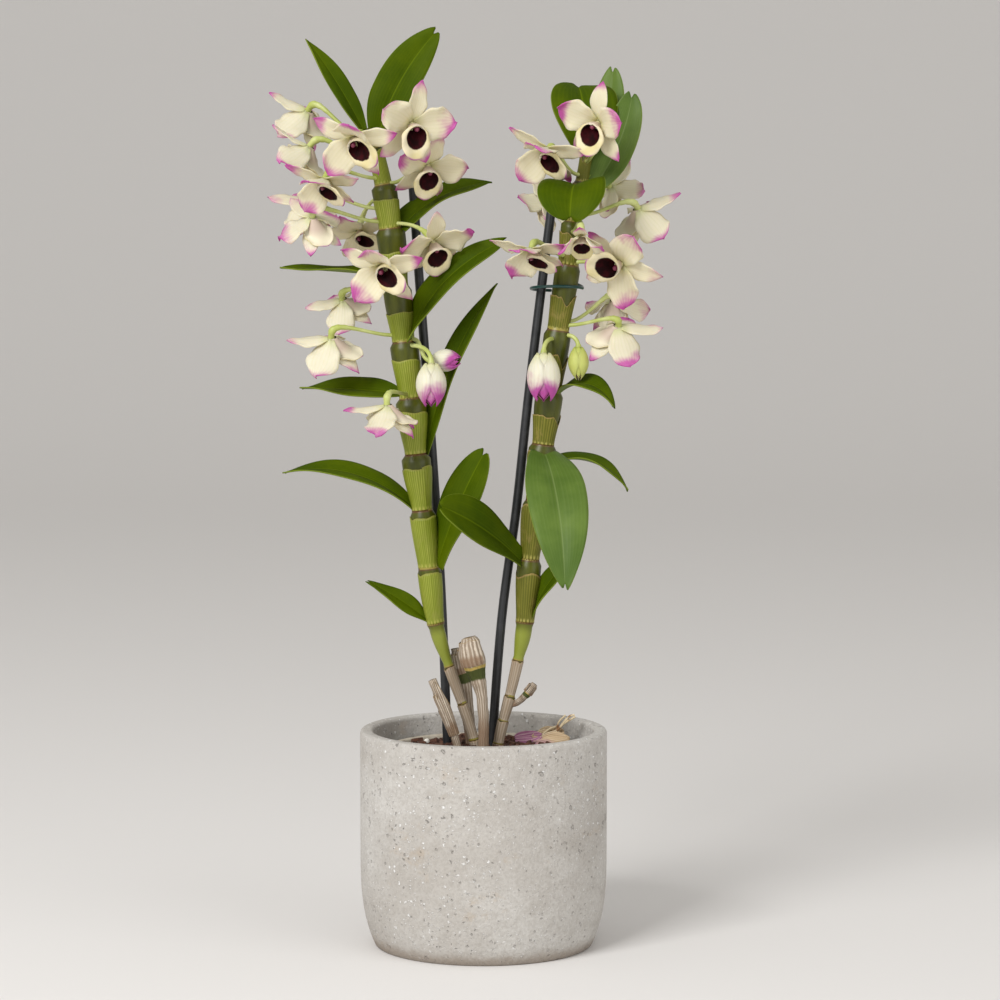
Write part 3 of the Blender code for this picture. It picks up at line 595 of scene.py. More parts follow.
def wrap_sheath(bm, cane, joint, cover, slot, slant, torn, seed):
    """Add a sheath wrapped once round a joint, its top edge slanted and split in deep Vs."""
    frames, radii = CANES[cane]

    def place(u, v):
        tear = 1.0 + slant * noise.noise(round_axis(math.tau * u, 1.0, seed))
        split = abs((u * 2.0 + seed * 0.37) % 1.0 - 0.5)
        tear -= torn * max(0.0, 1.0 - split * 6.0)
        tear += torn * 0.16 * noise.noise(Vector((u * 26.0, seed, 2.0)))
        along = (joint + min(v * cover * tear, 0.97)) * CANE_ROWS
        row = min(int(along), len(frames) - 2)
        here = frames[row].lerp(frames[row + 1], along - row)
        radius = radii[row] + (radii[row + 1] - radii[row]) * (along - row)
        if row % CANE_ROWS == 0:
            radius = radii[row + 1]
        radius += 0.15 + 0.25 * u + (0.05 + torn) * v ** 6 + 0.04 * math.sin(u * 150.0)
        return here @ round_axis(math.tau * u * 1.04 + seed, radius)

    patch(bm, 72, 16, place, slot)


def ribs(tree, count, wander=0.6):
    """Ribs that run along a piece, from its own map: 0 in the furrows and 1 on the ribs."""
    uv = node("ShaderNodeTexCoord", {}, "UV", tree)
    across = node("ShaderNodeSeparateXYZ", {0: uv}, "X")
    stretched = node("ShaderNodeMapping", {"Vector": uv, "Scale": (count, wander, 1.0)})
    uneven = node("ShaderNodeTexNoise", {"Vector": stretched, "Scale": 1.0, "Detail": 3.0, "Roughness": 0.7})
    wave = maths("SINE", plus(times(across, count * math.tau),
                                     times(uneven, 5.0)))
    return times(plus(times(wave, 0.5), 0.5), uneven)


def map_axis(tree, axis):
    """One axis of a piece's own map: X across or Y along."""
    uv = node("ShaderNodeTexCoord", {}, "UV", tree)
    return node("ShaderNodeSeparateXYZ", {0: uv}, axis)


def cane_material(name, joints, young):
    """Bare cane: dark olive, paler near each ring and all up its youngest bare joint."""
    material, tree, shader = new_material(name, 0.38, 0.35)
    along = times(map_axis(tree, "Y"), float(joints))
    share = maths("FRACT", along)
    mottle = cloud(tree, 120.0, 4.0, 0.6, 0.25)
    colour = blend(between(mottle, 0.3, 0.7), (0.034, 0.040, 0.0006), (0.080, 0.088, 0.002))
    fresh = times(between(along, young - 0.02, young), between(along, young + 1.1, young + 0.7))
    low = maths("MAXIMUM", times(between(share, 0.35, 0.10), 0.6), fresh)
    colour = blend(low, colour, (0.22, 0.25, 0.030))
    line = between(share, 0.05, 0.02)
    colour = blend(line, colour, (0.27, 0.22, 0.04))
    brown = between(share, 0.965, 0.99)
    colour = blend(brown, colour, (0.10, 0.055, 0.015))
    coat(shader, colour, mottle, 0.2, 0.4)
    return material


def sheath_material(name, dark, pale, rib_count, fringe, edge, roughness):
    """Papery sheath: fine pale ribs, a dashed fringe at its foot and a drier torn edge."""
    material, tree, shader = new_material(name, roughness, 0.3)
    along = map_axis(tree, "Y")
    fibres = ribs(tree, rib_count)
    colour = blend(between(fibres, -0.10, 0.72), dark, pale)
    patchy = between(cloud(tree, 75.0, 4.0, 0.6, 0.35), 0.38, 0.68, 0.0, 0.60)
    colour = blend(patchy, colour, dark)
    weathered = between(cloud(tree, 150.0, 5.0, 0.75, 0.5, 2.0), 0.52, 0.68, 0.0, 0.35)
    colour = blend(weathered, colour, edge)
    dashes = times(between(along, 0.13, 0.05, 0.0, 0.7),
                   between(ribs(tree, 17.0), 0.14, 0.3))
    colour = blend(dashes, colour, fringe)
    colour = blend(between(along, 0.035, 0.015), colour, (0.13, 0.06, 0.015))
    colour = blend(between(along, 0.95, 0.99, 0.0, 0.7), colour, edge)
    coat(shader, colour, fibres, 0.25, 0.6)
    return material


green_sheath = sheath_material("green_sheath", (0.150, 0.188, 0.005), (0.325, 0.345, 0.055), 40.0,
                               (0.40, 0.38, 0.08), (0.25, 0.24, 0.05), 0.5)
straw_sheath = sheath_material("straw_sheath", (0.086, 0.090, 0.002), (0.200, 0.184, 0.022), 30.0,
                               (0.44, 0.38, 0.10), (0.34, 0.23, 0.08), 0.6)
dry_paper = sheath_material("dry_paper", (0.27, 0.205, 0.14), (0.46, 0.385, 0.30), 13.0,
                            (0.52, 0.43, 0.32), (0.30, 0.20, 0.12), 0.78)
DRY_JOINTS = {"cane_left": 3, "cane_right": 4}
for cane, covers, outer, slant, torn in (("cane_left", LEFT_SHEATHS, green_sheath, 0.10, 0.04),
                                         ("cane_right", RIGHT_SHEATHS, straw_sheath, 0.14, 0.30)):
    frames, radii = CANES[cane]
    dry = DRY_JOINTS[cane]
    bare = cane_material(cane + "_skin", len(covers), float(dry))
    bm = bmesh.new()
    path = [frame.translation for frame in frames]
    tube(bm, path, radii[:-1] + [0.3], 40)
    add_piece(cane + "_stem", bm, [bare], "cane", cane)
    bm = bmesh.new()
    for joint, cover in enumerate(covers):
        if cover:
            wrap_sheath(bm, cane, joint, cover, 1 if joint < dry else 0, slant, torn if joint > 7 else 0.05,
                        1.7 * joint + len(cane))
    add_piece(cane + "_sheaths", bm, [outer, dry_paper], "cane", cane, 0.2)

# ---------------------------------------------------------------- Old canes
# Cut-back stems from past seasons: shrunken, wrapped in dry grey-brown paper with dark green
# bands where it has split, and topped by a torn or cut end.
# Route up each cane, its girth at each knot, the height of its green band as a share, how ragged
# its wrap's top edge is, and the share of its length where that wrap starts.
OLD_CANES = {
    "old_cane_thin": (((-13, -9, -14), (-16, -9, 6), (-22, -9, 24), (-31, -9, 46)), (2.4, 2.4, 2.9, 2.6),
                      (), 0.55, 0.45),
    "old_cane_back": (((-6, 13, -14), (-8, 13, 8), (-10, 14, 24), (-12, 14, 40), (-15, 15, 52),
                       (-17, 15, 62)), (3.4, 3.4, 4.0, 4.6, 4.2, 3.0), (0.62,), 0.3, 0.70),
    "old_cane_front": (((0, -12, -14), (0, -12, 6), (0, -12, 22), (-1, -12, 36), (-3, -12, 46),
                        (-6, -12, 58), (-8, -12, 68), (-9, -12, 72)),
                       (3.2, 3.2, 3.2, 3.4, 4.6, 7.4, 6.2, 4.4), (0.60,), 0.26, 0.685),
    "old_cane_side": (((16, -0.3, 29), (20.5, -0.6, 31), (26, -1.5, 36), (31, -2, 42.5)),
                      (1.5, 1.9, 2.4, 2.0), (0.60,), 0.2, 0.72),
}


def old_cane_material(name, bands):
    """Dry paper with dark green bands at the given shares of its length."""
    material, tree, shader = new_material(name, 0.78)
    along = map_axis(tree, "Y")
    wobble = swing(cloud(tree, 60.0), 0.06)
    wavy = plus(along, wobble)
    fibres = ribs(tree, 14.0, 2.6)
    colour = blend(between(fibres, 0.08, 0.60), (0.27, 0.205, 0.145), (0.58, 0.50, 0.40))
    dirt = between(cloud(tree, 90.0, 5.0, 0.7, 0.5), 0.48, 0.68, 0.0, 0.7)
    colour = blend(dirt, colour, (0.15, 0.092, 0.05))
    low = between(along, 0.36, 0.20, 0.0, 0.75)
    colour = blend(low, colour, (0.20, 0.115, 0.06))
    for band in bands:
        inside = times(between(wavy, band - 0.050, band - 0.035),
                       between(wavy, band + 0.045, band + 0.035))
        colour = blend(inside, colour, (0.050, 0.062, 0.006))
        ring = times(between(wavy, band + 0.035, band + 0.042),
                     between(wavy, band + 0.066, band + 0.056))
        colour = blend(ring, colour, (0.40, 0.29, 0.07))
    colour = blend(between(along, 0.965, 0.985), colour, (0.33, 0.21, 0.07))
    coat(shader, colour, fibres, 0.5, 0.9)
    return material


wrap_paper = old_cane_material("wrap_paper", ())
for name, (route, girth, bands, ragged, wrapped) in OLD_CANES.items():
    knots = [above_bark(*point) for point in route]
    path = smooth_path(knots, 8)
    radii = []
    for index in range(len(path)):
        span = min(index // 8, len(girth) - 2)
        t = index / 8 - span
        radii.append(girth[span] + (girth[span + 1] - girth[span]) * (3 * t * t - 2 * t ** 3))
    bm = bmesh.new()
    end = path[-1] - path[-2]
    tube(bm, path + [path[-1] + end * 0.02, path[-1] - end * 0.4], radii + [radii[-1] * 0.72, 0.001], 28)
    for vert in bm.verts:
        vert.co += 0.35 * noise.noise_vector(vert.co * 0.35)
    frames = frames_along(path)

    def place(u, v):
        torn = 1.0 + ragged * (noise.noise(Vector((u * 9.0, len(name), 0.5))) - 0.3)
        spot = min(wrapped + (0.965 - wrapped) * v * torn, 0.985) * (len(path) - 1)
        row = int(spot)
        radius = radii[row] + 0.45 + 0.3 * u + 0.9 * ragged * v ** 3
        radius += 0.22 * math.sin(u * math.tau * 11.0)
        here = frames[row].lerp(frames[row + 1], spot - row)
        return here @ round_axis(math.tau * 0.8 * u - 2.6, radius)

    patch(bm, 66, 14, place, 1)
    papers = [old_cane_material(name + "_paper", bands), wrap_paper]
    add_piece(name + "_stem", bm, papers, "dry_sheath", name)

# ---------------------------------------------------------------- Leaves
# Leathery strap leaves, glossy dark green above and paler blue-green beneath, folded along a
# sunken midrib, with a pale thin margin and an uneven notch at the tip.
LEAF_FOOT = 0.22
# Height and heading at the cane, length, width, rise at foot and tip, roll at foot and tip, and
# for some the fold and the sideways sweep.
LEAVES = {
    "left": (
        (376, 180, 64, 14, (64, 52), (-60, -55)),
        (374, 0, 72, 28, (74, 46), (72, 76)),
        (318, 12, 62, 21, (48, 4), (30, 25)),
        (290, 178, 62, 18, (6, 2), (-10, -8)),
        (252, -40, 86, 25, (66, 22), (50, 45), 18, 54),
        (182, 6, 112, 20, (80, 54), (35, 30)),
        (219, 180, 58, 22, (6, 0), (-45, -10)),
        (149, 180, 84, 20, (44, -14), (-30, -20)),
        (115, -30, 76, 28, (72, 60), (58, 70), 8, 20),
        (81, 182, 43, 12, (40, 26), (-60, -45)),
    ),
    "right": (
        (361, 98, 55, 42, (95, 20), (0, 0), 22),
        (348, 62, 80, 24, (36, 84), (0, 0)),
        (337, 10, 68, 24, (50, 82), (62, 62)),
        (338, -98, 54, 41, (38, -80), (0, 0), 16),
        (218, -30, 44, 20, (45, -65), (20, 10)),
        (177, 0, 52, 20, (20, -60), (12, 10)),
        (184, -79, 100, 36, (-20, -84), (0, 12), 8),
        (118, -140, 71, 29, (40, 20), (-66, -64)),
        (83, -30, 54, 15, (70, 34), (50, 45), 18, 20),
    ),
}


def off_midline(tree):
    """How far a place lies to either side of a piece's midline: 0 on it and 0.5 at the edges."""
    return maths("ABSOLUTE", maths("SUBTRACT", map_axis(tree, "X"), 0.5))


def leaf_material(name, dark, light, vein, roughness, shine):
    """Leaf skin: faint lengthwise veins, a midrib line and a pale margin."""
    material, tree, shader = new_material(name, roughness, shine)
    fibres = ribs(tree, 15.0, 0.5)
    colour = blend(between(cloud(tree, 32.0, 4.0, 0.55), 0.3, 0.72), dark, light)
    colour = blend(between(fibres, 0.2, 0.65, 0.0, 0.14), colour, vein)
    middle = off_midline(tree)
    colour = blend(between(middle, 0.022, 0.006, 0.0, 0.65), colour, vein)
    colour = blend(between(middle, 0.486, 0.498, 0.0, 0.6), colour, (0.20, 0.25, 0.03))
    relief = plus(times(fibres, 0.4), between(middle, 0.0, 0.03))
    coat(shader, colour, relief, 0.3, 0.5)
    return material


leaf_top = leaf_material("leaf_top", (0.036, 0.064, 0.0001), (0.068, 0.100, 0.0002),
                         (0.105, 0.150, 0.002), 0.60, 0.05)
leaf_under = leaf_material("leaf_under", (0.090, 0.135, 0.014), (0.135, 0.185, 0.026),
                           (0.18, 0.24, 0.05), 0.6, 0.2)
leaf_matt = leaf_material("leaf_matt", (0.058, 0.108, 0.012), (0.104, 0.165, 0.026),
                          (0.15, 0.21, 0.06), 0.5, 0.2)
MATT_LEAVES = ("leaf_right_02", "leaf_right_03", "leaf_right_07")
LEAF_STEPS = 40
CLASPING = {"leaf_left_02": 0.42, "leaf_left_03": 0.80, "leaf_left_05": 0.72, "leaf_left_09": 0.62,
            "leaf_right_07": 0.45, "leaf_right_08": 0.40}
WIDEST = {"leaf_left_09": 0.60, "leaf_right_01": 0.58, "leaf_right_02": 0.50, "leaf_right_03": 0.52,
          "leaf_right_04": 0.66, "leaf_right_07": 0.45, "leaf_right_08": 0.66}
BLUNT = ("leaf_left_02", "leaf_left_09", "leaf_right_01", "leaf_right_02", "leaf_right_03", "leaf_right_04",
         "leaf_right_08")


def add_leaf(name, cane, height, heading, length, width, rise, roll, fold=18.0, sweep=0.0):
    """Add one blade: rise, roll and sweep in degrees, rise and roll each at its foot and its tip."""
    outward = math.radians(heading)
    away = Vector((math.cos(outward), math.sin(outward), 0.0))
    centre, radius = cane_at(cane, height)
    point = centre + away * (radius * 0.55 + width / 2 * LEAF_FOOT * abs(math.sin(math.radians(roll[0]))))
    clasp = CLASPING.get(name, LEAF_FOOT)
    widest = WIDEST.get(name, 0.37)
    taper = 0.55 if name in BLUNT else 0.85
    line = []
    for step in range(LEAF_STEPS + 1):
        share = step / LEAF_STEPS
        climb = math.radians(rise[0] + (rise[1] - rise[0]) * share)
        turn = outward + math.radians(sweep * share)
        ahead = Vector((math.cos(turn) * math.cos(climb), math.sin(turn) * math.cos(climb), math.sin(climb)))
        tilt = math.radians(roll[0] + (roll[1] - roll[0]) * share)
        side = Matrix.Rotation(tilt, 3, ahead) @ Vector((-math.sin(turn), math.cos(turn), 0.0))
        line.append((point, ahead, side, ahead.cross(side)))
        step_length = (length - 0.8 + radius * 0.45 * max(math.cos(math.radians(rise[0])), 0.0)) / LEAF_STEPS
        point = point + ahead * step_length

    def place(u, share):
        side_share = 1.0 - 2.0 * u
        point, ahead, side, upper = line[round(share * LEAF_STEPS)]
        foot = clasp + (1.0 - clasp) * math.sin(min(share / (widest - 0.03), 1.0) * math.pi / 2)
        tip = (1.0 - max(share - widest, 0.0) ** 2.0 / (1.0 - widest) ** 2.0 * 0.95) ** taper
        half = width / 2 * foot * tip
        lift = math.radians(fold) * (1.0 - 0.4 * share)
        wave = 0.9 * side_share ** 2 * math.sin(share * 9.0 + heading + side_share * 2.0)
        arch = math.sin(abs(side_share) * math.pi) * half * 0.05
        notch = max(share - 0.9, 0.0) * 10.0
        pull = 2.6 * notch * max(0.0, 1.0 - abs(side_share - 0.12) * 1.7) - 1.2 * notch * max(side_share, 0.0)
        return (point + side_share * half * side * math.cos(lift) - ahead * pull
                + upper * (abs(side_share) * half * math.sin(lift) + wave + arch))

    bm = bmesh.new()
    patch(bm, 16, LEAF_STEPS, place)
    upper_skin = leaf_matt if name in MATT_LEAVES else leaf_top
    add_piece(name + "_blade", bm, [upper_skin, leaf_under], "leaf", name, 0.8, True)


for side, leaves in LEAVES.items():
    for number, leaf in enumerate(leaves, 1):
        add_leaf(f"leaf_{side}_{number:02d}", "cane_" + side, *leaf)

# ---------------------------------------------------------------- Flowers
# Waxy cream flowers with magenta tips: three narrow sepals, two broad wavy petals, and a
# rolled lip that flares into a round mouth with a velvety, nearly black maroon throat.
HUB = 2.0
FLOWER_ROWS = 16
# Length, width, where it is widest, the power of its point, and the width of its root as a share.
SEPAL = (26.0, 12.0, 0.46, 0.95, 0.40)
PETAL = (25.7, 20.5, 0.52, 0.78, 0.26)
TIP_RELAX = 16.0


def petal_material(name, body, root, tip, start):
    """Petal skin: cream, greener at the root, faint veins and a magenta tip."""
    material, tree, shader = new_material(name, 0.55, 0.35)
    along = map_axis(tree, "Y")
    fibres = ribs(tree, 9.0, 0.5)
    colour = blend(between(along, 0.30, 0.0, 0.0, 0.75), body, root)
    colour = blend(between(fibres, 0.25, 0.6, 0.0, 0.20), colour, root)
    uneven = swing(cloud(tree, 62.0, 3.0), 0.95)
    streaks = times(maths("SUBTRACT", fibres, 0.25), 0.07)
    edge = times(off_midline(tree), 0.12)
    reach = plus(plus(plus(along, uneven), edge), streaks)
    colour = blend(between(reach, start, start + 0.36), colour, tip)
    shader.inputs["Subsurface Weight"].default_value = 0.25
    shader.inputs["Subsurface Radius"].default_value = (0.004, 0.003, 0.002)
    shader.inputs["Subsurface Scale"].default_value = 1.0
    coat(shader, colour, fibres, 0.12, 0.4)
    return material


petal_front = petal_material("petal_front", (0.66, 0.59, 0.42), (0.52, 0.50, 0.20),
                             (0.40, 0.058, 0.27), 0.66)
petal_back = petal_material("petal_back", (0.65, 0.59, 0.44), (0.48, 0.49, 0.20),
                            (0.43, 0.085, 0.30), 0.70)

lip_inside, tree, shader = new_material("lip_inside", 0.75, 0.12)
along = map_axis(tree, "Y")
ragged = swing(cloud(tree, 420.0, 4.0, 0.7), 0.09)
colour = blend(between(cloud(tree, 90.0), 0.35, 0.7), (0.71, 0.63, 0.44), (0.62, 0.54, 0.28))
tip_spot = times(between(off_midline(tree), 0.09, 0.02), between(along, 0.90, 0.99))
colour = blend(tip_spot, colour, (0.45, 0.10, 0.36))
dark = between(plus(along, ragged), 0.70, 0.66)
velvet = blend(between(cloud(tree, 260.0), 0.35, 0.75), (0.010, 0.0004, 0.0008),
               (0.036, 0.001, 0.003))
colour = blend(dark, colour, velvet)
coat(shader, colour, ribs(tree, 30.0), 0.12, 0.4)

lip_outside, tree, shader = new_material("lip_outside", 0.55)
colour = blend(between(map_axis(tree, "Y"), 0.75, 0.35, 0.0, 0.55), (0.70, 0.64, 0.48),
               (0.34, 0.20, 0.18))
coat(shader, colour)

stalk_green, tree, shader = new_material("flower_stalk", 0.45)
colour = blend(between(cloud(tree, 90.0), 0.35, 0.7), (0.38, 0.43, 0.10), (0.52, 0.55, 0.22))
coat(shader, colour)

column_skin, tree, shader = new_material("column", 0.4)
colour = blend(between(map_axis(tree, "Y"), 0.35, 0.60), (0.66, 0.62, 0.36), (0.17, 0.02, 0.05))
coat(shader, colour)


def flower_frame(heart, face, up):
    """Frame of a flower: +Z out of its face and +Y towards its top sepal."""
    out = Vector(face).normalized()
    across = Vector(up).cross(out).normalized()
    return Matrix.Translation(heart) @ Matrix((across, out.cross(across), out)).transposed().to_4x4()


def add_tepal(bm, place_frame, angle, shape, size, lean, curl, vary):
    """Add one sepal or petal that leaves the heart at an angle and leans forward."""
    length, width, widest, point_power, foot = shape
    radial = Vector((math.cos(math.radians(angle)), math.sin(math.radians(angle)), 0.0))
    across = Vector((radial.y, -radial.x, 0.0))
    broad = width > 14.0
    phase = vary.uniform(0.0, 6.0)
    twist = math.radians(vary.uniform(-10.0, 10.0))
    wave = vary.uniform(1.3, 2.3) if broad else 0.7
    line = []
    spot = radial * HUB * 0.6 + Vector((0.0, 0.0, 0.4))
    for step in range(FLOWER_ROWS + 1):
        share = step / FLOWER_ROWS
        tilt = math.radians(lean - TIP_RELAX * share + curl * share ** 2)
        ahead = radial * math.cos(tilt) + Vector((0.0, 0.0, math.sin(tilt)))
        side = Matrix.Rotation(twist * share, 3, ahead) @ across
        line.append((spot, side, side.cross(ahead)))
        spot = spot + ahead * (length * size / FLOWER_ROWS)

    def place(u, v):
        spot, side, front = line[round(v * FLOWER_ROWS)]
        side_share = 2.0 * u - 1.0
        if v < widest:
            fullness = foot + (1.0 - foot) * math.sin(v / widest * math.pi / 2) ** 1.15
        else:
            fullness = max(1.0 - ((v - widest) / (1.0 - widest)) ** 2.3, 0.0) ** point_power
        half = width * size / 2 * fullness
        cup = 0.16 * half * side_share ** 2 * (1.4 - v)
        ruffle = wave * side_share ** 2 * math.sin(v * 8.0 + phase + side_share) * min(v * 2.0, 1.0)
        ruffle += 0.3 * wave * abs(side_share) ** 3 * math.sin(v * 21.0 + phase * 2.0 + side_share * 2.0)
        half *= 1.0 + 0.05 * math.sin(v * 17.0 + phase * 3.0) * abs(side_share)
        keel = -0.5 * math.exp(-(side_share * 4.0) ** 2) * (1.0 - v)
        return place_frame @ (spot + side * (side_share * half) + front * (cup + ruffle + keel))

    patch(bm, 10, FLOWER_ROWS, place)


# Share along the lip; its drop, reach forward and radius there; and its nod in degrees.
LIP_RINGS = (
    (0.0, 1.2, 0.2, 1.6, 0.0), (0.16, 1.6, 2.4, 2.8, 8.0), (0.34, 2.6, 5.2, 4.4, 8.0),
    (0.52, 4.0, 7.6, 5.7, 2.0), (0.66, 5.2, 9.2, 6.6, -8.0), (0.78, 6.0, 9.8, 8.0, -12.0),
    (0.90, 6.5, 9.7, 9.4, -14.0), (1.0, 6.6, 9.0, 10.2, -14.0),
)


def add_lip(bm, place_frame, size, vary):
    """Add the trumpet lip; its two edges meet at the top, over the column."""
    phase = vary.uniform(0.0, 6.0)
    drop_more = vary.uniform(0.9, 1.1)

    def place(u, v):
        for low, high in zip(LIP_RINGS, LIP_RINGS[1:]):
            if v <= high[0] + 0.0001:
                break
        t = (v - low[0]) / (high[0] - low[0])
        drop, ahead, radius, nod = (low[i] + (high[i] - low[i]) * t for i in range(1, 5))
        around = math.radians(90.0) - math.tau * (u * 1.02 - 0.01)
        lower = max(-math.sin(around), 0.0)
        upper = max(math.sin(around), 0.0)
        flare = max(v - 0.55, 0.0) / 0.45
        reach = radius * (1.0 + 0.22 * drop_more * flare * lower ** 3 - 0.16 * flare * upper)
        ruffle = 0.55 * flare ** 2 * math.sin(around * 7.0 + phase)
        point = round_axis(around, reach, ruffle + 0.5 * flare ** 3 * lower)
        point = Matrix.Rotation(math.radians(nod), 3, "X") @ point
        return place_frame @ ((point + Vector((0.0, -drop, ahead))) * size)

    patch(bm, 40, 14, place, 2)


def stalk_path(cane, height, heart, behind, steps):
    """Points from a flower's back to its cane, leaving both squarely."""
    centre, radius = cane_at(cane, height)
    leave = (heart - centre)
    leave.z = 0.0
    leave.normalize()
    start = centre + leave * (radius - 0.5)
    reach = (heart - start).length * 0.4
    one, two, three, four = heart, heart + behind * reach, start + leave * reach, start
    line = []
    for step in range(steps + 1):
        t = step / steps
        line.append(one * (1 - t) ** 3 + two * (3 * t * (1 - t) ** 2) + three * (3 * t * t * (1 - t))
                    + four * t ** 3)
    return line


# Forward lean in degrees of the top sepal, the two petals and the two low sepals. Each flower:
# where its stalk leaves the cane, its heart, the way it faces, its upward side, size and leans.
OPEN_FACE = (6.0, 22.0, 22.0, 8.0, 8.0)
WIDE = (6.0, 34.0, 34.0, 8.0, 8.0)
CUPPED = (6.0, 50.0, 50.0, 8.0, 8.0)
NODDING = (10.0, 38.0, 38.0, 52.0, 52.0)
HALF_OPEN = (26.0, 56.0, 56.0, 12.0, 12.0)
FLOWERS = {
    "left": (
        (372, (-106, 18, 389), (-0.35, 0.5, -0.75), (-0.85, 0.1, 0.45), 0.95, NODDING),
        (360, (-104, -2, 367), (-0.5, 0.2, -0.84), (-0.85, 0.1, 0.53), 0.95, NODDING),
        (348, (-94, -26, 347), (-0.3, -0.5, -0.8), (-0.92, 0.05, 0.35), 0.9, CUPPED),
        (368, (-75, -42, 371), (-0.27, -0.77, -0.58), (-0.88, 0.0, 0.45), 1.0, CUPPED),
        (368, (-42, -36, 379), (0.5, -0.8, -0.3), (0.15, 0.0, 0.98), 1.0, OPEN_FACE),
        (345, (-33, -11, 355), (0.3, -0.75, -0.6), (0.2, -0.1, 0.97), 0.9, OPEN_FACE),
        (330, (-105, 18, 335), (-0.1, 0.6, -0.8), (-0.97, 0.0, 0.12), 0.95, NODDING),
        (322, (-102, -12, 325), (0.0, 0.6, -0.8), (-0.5, 0.6, 0.5), 0.9, NODDING),
        (336, (-76, 29, 316), (-0.1, -0.6, -0.75), (-0.6, 0.4, 0.3), 0.85, OPEN_FACE),
        (321, (-30, -21, 310), (0.4, -0.6, -0.7), (0.1, -0.7, 0.65), 0.95, OPEN_FACE),
        (286, (-59, -34, 296), (-0.3, -0.8, -0.5), (-0.9, 0.1, 0.35), 1.0, CUPPED),
        (280, (-86, 23, 275), (0.2, 0.6, -0.75), (-0.85, 0.1, -0.25), 0.85, NODDING),
        (254, (-91, -14, 253), (0.05, 0.5, -0.86), (-0.97, 0.05, 0.0), 1.0, NODDING),
        (219, (-57, -36, 214), (0.05, 0.2, -0.95), (-0.97, 0.0, 0.05), 0.95, NODDING),
    ),
    "right": (
        (358, (68, -28, 380), (-0.55, -0.8, -0.25), (0.25, 0.0, 0.97), 0.95, WIDE),
        (350, (38.4, -16, 365), (-0.4, -0.6, -0.65), (-0.88, 0.0, 0.45), 0.97, CUPPED),
        (330, (40, 34, 333), (-0.6, 0.4, -0.7), (-0.4, 0.5, 0.75), 0.8, OPEN_FACE),
        (316, (57.5, -51, 314), (0, -0.5, -0.87), (-0.1, -0.87, 0.5), 0.72, HALF_OPEN),
        (326, (93, 5, 330), (0.3, 0.5, -0.75), (0.9, 0.0, 0.4), 1.0, NODDING),
        (338, (77, 38, 343), (0.5, 0.5, -0.7), (0.4, 0.3, 0.85), 0.85, OPEN_FACE),
        (302, (28.5, -29, 306), (-0.15, -0.42, -0.88), (-0.97, 0.0, 0.2), 0.92, WIDE),
        (298, (82, -19, 297), (-0.4, -0.8, -0.4), (0.9, -0.3, -0.25), 1.0, OPEN_FACE),
        (262, (79, 18, 275), (0.1, 0.6, -0.75), (0.3, 0.75, 0.6), 0.9, NODDING),
        (260, (81, -12, 260), (-0.1, 0.6, -0.8), (0.97, 0.05, -0.05), 1.0, NODDING),
    ),
}
TEPALS = ((90.0, SEPAL), (18.0, PETAL), (162.0, PETAL), (-54.0, SEPAL), (234.0, SEPAL))
STALK_GIRTH = (1.9, 2.3, 1.9, 1.5, 1.25, 1.15, 1.1, 1.1, 1.15, 1.5)

COLUMN = ((0.0, -0.5, 1.7), (0.1, 2.0, 1.6), (-0.2, 4.5, 1.6), (-0.9, 6.6, 1.7), (-1.6, 7.6, 1.2),
          (-2.0, 8.0, 0.001))


def add_flower(name, cane, height, heart, face, up, size, leans, vary):
    """Add one flower: its tepals and lip as one piece, its stalk and column as another."""
    place_frame = flower_frame(above_bark(*heart), face, up)
    bm = bmesh.new()
    for (angle, shape), lean in zip(TEPALS, leans):
        angle += vary.uniform(-3.0, 3.0)
        add_tepal(bm, place_frame, angle, shape, size, lean, vary.uniform(-8.0, 6.0), vary)
    add_lip(bm, place_frame, size, vary)
    skins = [petal_front, petal_back, lip_inside, lip_outside]
    add_piece(name + "_bloom", bm, skins, "petal", name, 0.5, True)

    bm = bmesh.new()
    back = -place_frame.col[2].xyz.normalized()
    path = stalk_path(cane, height, place_frame.translation, back, len(STALK_GIRTH) - 1)
    path = smooth_path(path, 3)
    girth = [STALK_GIRTH[min(index // 3, len(STALK_GIRTH) - 1)] for index in range(len(path))]
    tube(bm, path, girth, 14)
    column = [place_frame @ (Vector((0.0, offset, ahead)) * size) for offset, ahead, _ in COLUMN]
    tube(bm, column, [girth * size for _, _, girth in COLUMN], 14, 1)
    add_piece(name + "_stalk", bm, [stalk_green, column_skin], "petal", name)


seed = 100
for side, flowers in FLOWERS.items():
    for number, flower in enumerate(flowers, 1):
        add_flower(f"flower_{side}_{number:02d}", "cane_" + side, *flower, random.Random(seed))
        seed += 1

# ---------------------------------------------------------------- Buds
# Closed and half-open flowers: three sepals folded over the rest, their tips standing a
# little apart, pale with magenta ends, and one still green.


def add_bud_leaf(bm, base, turn, length, girth, span, open_tip, slot):
    """Add one sepal of a bud, wrapped over part of its round body."""

    def place(u, v):
        body = math.sin((v * 0.80 + 0.12) * math.pi) ** 0.85 * girth / 2 + open_tip * v ** 3
        narrow = 1.0 - max(v - 0.45, 0.0) ** 1.8 / 0.55 ** 1.8
        around = turn + (u - 0.5) * span * (0.25 + 0.75 * math.sin(min(v * 2.2, 1.0) * math.pi / 2)) * narrow
        bulge = 0.4 * math.cos((u - 0.5) * math.pi)
        return base @ round_axis(around, body + bulge, v * length)

    patch(bm, 10, 16, place, slot)


